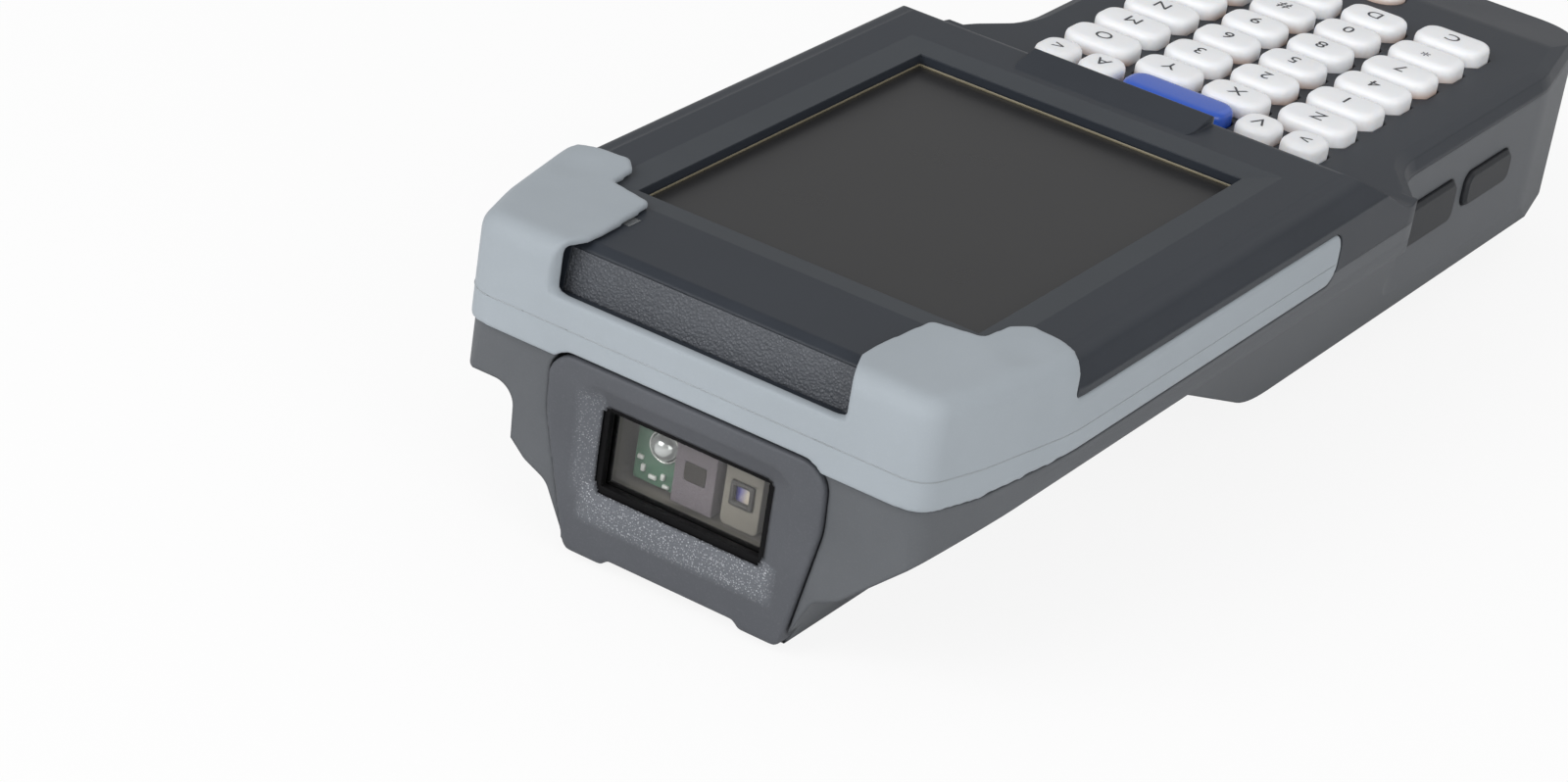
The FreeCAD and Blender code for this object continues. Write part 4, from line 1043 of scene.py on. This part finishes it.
@dataclass
class Bumper:
    """Rubber band with corner caps, remade as one soft skin with its flash line."""

    voxel: float = 0.00045
    passes: int = 5
    draw_in: float = 0.00008
    line_z: float = 0.03355
    line_radius: float = 0.00010
    cap_shift: float = 0.0019
    cap_run: float = 0.0052
    cap_start: float = 0.0195
    cap_end: float = 0.0275
    cap_fade: float = 0.0065
    strip_clear: float = 0.0004
    strip_fade: float = 0.0006
    dish_deep: float = 0.00030
    dish_x: float = 0.0352
    dish_depth: float = 0.0215
    dish_half: Pair = (0.0042, 0.0052)
    dish_band: float = 0.0012
    band_middle_y: float = -0.06
    line_end_y: float = -0.0075
    rod_sides: int = 6
    shortest: float = 1e-6

    def dress(self, dresser: Dresser) -> None:
        """Build the skin and its parting line.

        Args:
            dresser: The dresser that supplies materials.
        """
        maker = Maker(dresser)
        mesh = maker.remeshed("bumper", self.voxel, self.passes)
        self._shape(mesh)
        maker.piece("bumper_skin", mesh, BUMPER, "housing", ("bumper",), crease=60.0)
        # The parting line's lighter colour is a painted highlight
        maker.piece("bumper_parting", self._parting(), PARTING_HIGHLIGHT, "housing", crease=80.0)

    def _shape(self, mesh: Mesh) -> None:
        """Draw the skin in a hair, slope the caps' inner ends and sink the thumb dishes.

        Args:
            mesh: The skin's mesh.
        """
        low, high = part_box("bumper")
        strip_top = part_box("front_panel")[0][2] + self.strip_clear
        normals = [vertex.normal.copy() for vertex in mesh.vertices]
        for vertex, normal in zip(mesh.vertices, normals):
            place = vertex.co
            place -= normal * self.draw_in
            ahead = clamp((low[1] + self.cap_run - place.y) / self.cap_run)
            above = clamp((place.z - strip_top) / self.strip_fade)
            side = abs(place.x)
            near = clamp((self.cap_end - side) / self.cap_fade)
            if side > self.cap_start:
                place.x += math.copysign(self.cap_shift * ahead * above * near, place.x)
            away = math.hypot((side - self.dish_x) / self.dish_half[0],
                              (place.y - low[1] - self.dish_depth) / self.dish_half[1])
            if away < 1.0 and place.z > high[2] - self.dish_band:
                place.z -= self.dish_deep * (1.0 - away * away) ** 2

    def _parting(self) -> Mesh:
        """Thin raised line left by the mould round the band's outer face.

        Returns:
            The line as a mesh.
        """
        shape = bmesh.new()
        shape.from_mesh(frame["nodes"]["bumper"].data)
        geometry = shape.verts[:] + shape.edges[:] + shape.faces[:]
        cut = bmesh.ops.bisect_plane(shape, geom=geometry, plane_co=(0.0, 0.0, self.line_z),
                                     plane_no=(0.0, 0.0, 1.0))
        points: list[Triple] = []
        faces: list[tuple[int, ...]] = []
        for edge in (item for item in cut["geom_cut"] if isinstance(item, bmesh.types.BMEdge)):
            if not edge.link_faces or edge.calc_length() < self.shortest:
                continue
            normal = edge.link_faces[0].normal
            centre = (edge.verts[0].co + edge.verts[1].co) / 2.0
            outward = normal.x * centre.x + normal.y * (centre.y - self.band_middle_y)
            if outward >= 0.0 and centre.y <= self.line_end_y:
                self._rod(points, faces, edge, normal)
        shape.free()
        mesh = bpy.data.meshes.new("parting")
        mesh.from_pydata(points, [], faces)
        return mesh

    def _rod(self, points: list, faces: list, edge: bmesh.types.BMEdge, normal: Vector) -> None:
        """Add one closed rod along a cut edge.

        Args:
            points: Points gathered so far.
            faces: Faces gathered so far.
            edge: The edge to follow.
            normal: Outward normal of the band there.
        """
        inward = Vector((normal.x, normal.y, 0.0)).normalized() * self.line_radius
        base = len(points)
        count = self.rod_sides
        for vertex in edge.verts:
            for step in range(count):
                turn = math.tau * step / count
                lift = Vector((0.0, 0.0, self.line_radius * math.sin(turn)))
                points.append(tuple(vertex.co + lift + inward * (math.cos(turn) - 1.0)))
        for step in range(count):
            following = (step + 1) % count
            faces.append((base + step, base + following, base + count + following, base + count + step))
        faces.append(tuple(base + step for step in reversed(range(count))))
        faces.append(tuple(base + count + step for step in range(count)))


@dataclass
class ScanBezel:
    """The moulded frame round the scan window, its edges softened and its slopes widened."""

    voxel: float = 0.00032
    passes: int = 7
    rim_gap: float = 0.0004
    slope_side: float = 0.0042
    slope_low: float = 0.0030
    slope_top: float = 0.0036
    lip_gap: float = 0.0001
    lip_skin: float = 0.00002
    glass_lap: float = 0.0006
    pull_run: float = 0.003
    flank_gap: float = 0.0012
    face_normal_y: float = -0.97
    face_low_z: float = 0.010

    def dress(self, dresser: Dresser) -> None:
        """Build the softened frame.

        Args:
            dresser: The dresser that supplies materials.
        """
        maker = Maker(dresser)
        mesh = maker.remeshed("scan_bezel", self.voxel, self.passes)
        self._slopes(mesh)
        maker.piece("bezel_skin", mesh, BEZEL, "housing", ("scan_bezel",), crease=60.0)

    def _face(self, mesh: Mesh, reach: float) -> Pair:
        """Fit the frame's leaning front face from its two flanks.

        Args:
            mesh: The frame's mesh.
            reach: Least distance from the middle of the vertices used.

        Returns:
            The face's y where z is nought, and its y per unit of z.
        """
        points = [vertex.co for vertex in mesh.vertices
                  if abs(vertex.co.x) > reach and vertex.normal.y < self.face_normal_y
                  and vertex.co.z > self.face_low_z]
        mean_y = sum(point.y for point in points) / len(points)
        mean_z = sum(point.z for point in points) / len(points)
        rise = sum((point.y - mean_y) * (point.z - mean_z) for point in points)
        rise /= sum((point.z - mean_z) ** 2 for point in points)
        return mean_y - rise * mean_z, rise

    def _slopes(self, mesh: Mesh) -> None:
        """Sink the face round the window and carry its rim in over the gasket.

        Args:
            mesh: The frame's mesh.
        """
        low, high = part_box("window_gasket")
        sight_low, sight_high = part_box("scan_window")
        half = sight_high[0] + self.rim_gap - self.glass_lap
        bottom = sight_low[2] - self.rim_gap + self.glass_lap
        top = sight_high[2] + self.rim_gap - self.glass_lap
        start, rise = self._face(mesh, half + self.slope_side + self.flank_gap)
        lip = low[1] - self.lip_gap
        centre_z = (low[2] + high[2]) / 2.0
        for vertex in mesh.vertices:
            place = vertex.co
            if place.y > lip - self.lip_skin:
                continue
            away_x = max(0.0, abs(place.x) - high[0]) / self.pull_run
            away_z = max(0.0, low[2] - place.z, place.z - high[2]) / self.pull_run
            pull = (high[0] - half) * max(0.0, 1.0 - away_x) * max(0.0, 1.0 - away_z)
            across = clamp(place.x / high[0], -1.0)
            up = clamp((place.z - centre_z) / (high[2] - centre_z), -1.0)
            place.x -= pull * across
            place.z -= pull * up
            side = max(0.0, abs(place.x) - half) / self.slope_side
            upright = max(0.0, bottom - place.z) / self.slope_low
            upright += max(0.0, place.z - top) / self.slope_top
            share = 1.0 - min(1.0, math.hypot(side, upright))
            if share > 0.0:
                face = start + rise * place.z
                place.y = min(lip, max(place.y, face + (lip - face) * share))


@dataclass
class Imager:
    """Window and the optics behind it, with the lamp's board and dome."""

    dome_radius: float = 0.0024
    dome_place: Pair = (-0.0064, 0.0192)
    round_steps: int = 36
    dome_wide: float = 0.84
    dome_tall: float = 0.85
    dome_steps: tuple[int, ...] = tuple(range(0, 88, 8))
    collar: tuple[Pair, ...] = (
        (0.0, 1.0), (-0.0005, 1.0), (-0.0007, 0.93), (-0.0004, 0.86), (0.0, 0.86))
    board_proud: float = 0.00005
    board_thick: float = 0.0005
    board_inset: Pair = (0.0004, 0.0006)
    board_corner: float = 0.0004
    part_tall: float = 0.0004
    part_corner: float = 0.0001
    parts: tuple[Four, ...] = (
        (-0.0100, 0.0162, 0.0009, 0.0006), (-0.0094, 0.0148, 0.0006, 0.0010),
        (-0.0078, 0.0140, 0.0012, 0.0006), (-0.0062, 0.0146, 0.0006, 0.0009),
        (-0.0103, 0.0214, 0.0006, 0.0012), (-0.0056, 0.0134, 0.0010, 0.0005))
    slit_place: Pair = (-0.0009, 0.0176)
    slit_size: Pair = (0.0036, 0.0029)
    slit_levels: Pair = (-0.00006, 0.0004)
    slit_corner: float = 0.0007
    hood: tuple[Pair, ...] = (
        (0.0, 0.0001), (0.0, -0.00035), (-0.0001, -0.00045), (-0.00055, -0.00045), (-0.0007, 0.0001))
    hood_corner: float = 0.0003
    bevel: float = 0.00012
    corner_steps: int = 4
    finishes: dict[str, AnyFinish] = field(default_factory=lambda: {
        "scan_window": WINDOW, "imager_chassis": OPTICS, "imager_board": BOARD, "imager_lamp": OPTICS,
        "imager_aimer": AIMER, "imager_camera": CAMERA, "light_pipes": PIPE, "imager_lens": LENS,
    })

    def dress(self, dresser: Dresser) -> None:
        """Put each optic's finish on its node and add the small parts.

        Args:
            dresser: The dresser that supplies materials.
        """
        dresser.nodes(self.finishes)
        maker = Maker(dresser)
        self._lamp(maker)
        self._hood(maker)
        front, back = (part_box("imager_aimer")[0][1] + level for level in self.slit_levels)
        self._plate(maker, "aimer_slit", SLIT, self.slit_place, self.slit_size, front, back, self.slit_corner)

    def _plate(self, maker: Maker, name: str, finish: Finish, centre: Pair,
               size: Pair, front: float, back: float, radius: float) -> None:
        """Upright plate with rounded corners and a bevelled front.

        Args:
            maker: The maker of pieces.
            name: The piece's name.
            finish: Its finish.
            centre: Its middle, across and up.
            size: Its width and height.
            front: Row y of its front face.
            back: Row y of its back face.
            radius: Corner radius.
        """
        bevel = min(self.bevel, size[0] / 6.0)
        loops = []
        for inset, level in ((0.0, back), (0.0, front + bevel), (bevel, front)):
            loop = rounded_loop(size[0] / 2.0 - inset, size[1] / 2.0 - inset, radius, self.corner_steps)
            loops.append([(centre[0] + across, level, centre[1] + up) for across, up in loop])
        maker.piece(name, maker.rings(loops), finish, "housing")

    def _lamp(self, maker: Maker) -> None:
        """Green lamp board, its glossy dome, collar and small parts.

        Args:
            maker: The maker of pieces.
        """
        low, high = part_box("imager_lamp")
        back = low[1] - self.board_proud
        face = back - self.board_thick
        size = (high[0] - low[0] - self.board_inset[0], high[2] - low[2] - self.board_inset[1])
        self._plate(maker, "lamp_board", BOARD, middle("imager_lamp")[::2], size, face, back,
                    self.board_corner)
        turns = [math.radians(step) for step in self.dome_steps]
        dome = [(-self.dome_tall * self.dome_radius * math.sin(turn), self.dome_wide * math.cos(turn))
                for turn in turns]
        self._turned(maker, "lamp_collar", LAMP, face, self.collar)
        self._turned(maker, "lamp_dome", DOME, face, dome)
        for index, (x, z, wide, tall) in enumerate(self.parts):
            self._plate(maker, f"lamp_part_{index + 1}", PART_WHITE, (x, z), (wide, tall),
                        face - self.part_tall, face, self.part_corner)

    def _turned(self, maker: Maker, name: str, finish: Finish, face: float,
                profile: tuple[Pair, ...] | list[Pair]) -> None:
        """Round form about the lamp's axis.

        Args:
            maker: The maker of pieces.
            name: The piece's name.
            finish: Its finish.
            face: Row y of the board that it stands on.
            profile: Its levels from the board, with their shares of the dome's radius.
        """
        across, up = self.dome_place
        turns = [math.tau * step / self.round_steps for step in range(self.round_steps)]
        loops = []
        for level, share in profile:
            reach = self.dome_radius * share
            loops.append([(across + reach * math.cos(turn), face + level, up + reach * math.sin(turn))
                          for turn in turns])
        maker.piece(name, maker.rings(loops), finish, "housing", crease=50.0)

    def _hood(self, maker: Maker) -> None:
        """Dark stepped frame round the camera's coated lens.

        Args:
            maker: The maker of pieces.
        """
        low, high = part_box("imager_lens")
        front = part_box("imager_camera")[0][1]
        centre = middle("imager_lens")
        loops = []
        for inset, level in self.hood:
            reach = (high[0] - low[0]) / 2.0 + inset
            loop = rounded_loop(reach, reach, self.hood_corner, self.corner_steps)
            loops.append([(centre[0] + across, front + level, centre[2] + up) for across, up in loop])
        maker.piece("camera_hood", maker.rings(loops, closed=True), HOOD, "housing", crease=30.0)


@dataclass
class Display:
    """Seal, touch film and panel under the opening."""

    finishes: dict[str, Finish] = field(default_factory=lambda: {
        "display_seal": SEAL, "touch_screen": SCREEN, "display_panel": PANEL, "main_board": BOARD,
    })

    def dress(self, dresser: Dresser) -> None:
        """Put each finish on its node."""
        dresser.nodes(self.finishes)


@dataclass
class Keypad:
    """Moulded key caps with printed legends, their mat and board."""

    flange: float = 0.0004
    flange_tall: float = 0.0007
    corner: float = 0.0026
    legend_tall: float = 0.0036
    legend_thick: float = 0.00001
    legend_lift: float = 0.000008
    least_corner: float = 0.0005
    crown: tuple[Pair, ...] = (
        (0.00110, 0.0), (0.00070, 0.00008), (0.00040, 0.00024),
        (0.00018, 0.00052), (0.00005, 0.00092), (0.0, 0.0015))
    columns: str = "abcd"
    rows: tuple[str, ...] = ("OYXZ", "M321", "N654", "P987", "Q#0*", "FEDC")
    others: dict[str, str] = field(default_factory=lambda: {
        "key_nav_outer_left": ">", "key_nav_inner_left": "V", "key_nav_inner_right": "A",
        "key_nav_outer_right": "<", "key_power": "I",
    })

    def dress(self, dresser: Dresser) -> None:
        """Build each cap and legend and finish what lies under them.

        Args:
            dresser: The dresser that supplies materials.
        """
        dresser.nodes({"keypad_mat": MAT, "keypad_board": BOARD})
        maker = Maker(dresser)
        signs = dict(self.others)
        for number, row in enumerate(self.rows, 1):
            signs |= {f"key_{column}{number}": sign for column, sign in zip(self.columns, row)}
        for node in [name for name in frame["nodes"] if name.startswith("key_")]:
            self._cap(maker, node)
            if node in signs:
                self._legend(maker, node, signs[node])

    def _cap(self, maker: Maker, node: str) -> None:
        """Cap with a catching flange, straight walls and a rounded crown.

        Args:
            maker: The maker of pieces.
            node: The key's node.
        """
        low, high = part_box(node)
        centre = middle(node)
        half = ((high[0] - low[0]) / 2.0 - self.flange, (high[1] - low[1]) / 2.0 - self.flange)
        corner = min(half) if node == "key_power" else self.corner
        shoulder = low[2] + self.flange_tall
        levels = [(low[2], -self.flange), (shoulder, -self.flange), (shoulder, 0.0)]
        levels += [(high[2] - below, inset) for below, inset in self.crown]
        loops = []
        for level, inset in levels:
            radius = max(self.least_corner, corner - inset)
            loop = rounded_loop(half[0] - inset, half[1] - inset, radius)
            loops.append([(centre[0] + across, centre[1] + along, level) for across, along in loop])
        finish = SCAN_KEY if node == "key_scan" else KEY
        maker.piece(f"cap_{node}", maker.rings(loops), finish, body_name(node), (node,))

    def _legend(self, maker: Maker, node: str, sign: str) -> None:
        """One printed letter or number, read from the keypad's end.

        Args:
            maker: The maker of pieces.
            node: The key's node.
            sign: The letter or number.
        """
        text = bpy.data.curves.new("legend", "FONT")
        text.body = sign
        text.size = self.legend_tall
        text.extrude = self.legend_thick
        text.align_x = "CENTER"
        text.align_y = "CENTER"
        carrier = placed("legend", text)
        bpy.context.view_layer.update()
        mesh = bpy.data.meshes.new_from_object(carrier)
        bpy.data.objects.remove(carrier)
        centre = middle(node)
        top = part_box(node)[1][2] + self.legend_lift
        place = Matrix.Translation((centre[0], centre[1], top))
        mesh.transform(place @ Matrix.Rotation(math.pi, 4, "Z"))
        maker.piece(f"legend_{node}", mesh, LEGEND, body_name(node), crease=30.0)


@dataclass
class GripControls:
    """Side buttons, rocker, battery pack and its latch."""

    finishes: dict[str, Finish] = field(default_factory=lambda: {
        "scan_button_left": BUTTON, "scan_button_right": BUTTON, "volume_rocker": BUTTON,
        "battery_pack": BATTERY, "battery_latch": BUTTON,
    })

    def dress(self, dresser: Dresser) -> None:
        """Put each finish on its node."""
        dresser.nodes(self.finishes)


def main(cad_bounds: tuple) -> None:
    """Build the camera, the studio and every sub-assembly in order.

    Args:
        cad_bounds: The construction model's own box, taken before anything is added; not used.
    """
    logging.basicConfig(level=logging.INFO, format="%(message)s")
    scene = bpy.context.scene
    scene.view_settings.view_transform = "Standard"
    PhotoCamera().build()
    Studio().build()
    dresser = Dresser(Effects())
    for group in (Casings(), Bumper(), ScanBezel(), Imager(), Display(), Keypad(), GripControls()):
        group.dress(dresser)
        LOG.info("%s done", type(group).__name__)


if __name__ == "__main__":
    main(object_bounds())
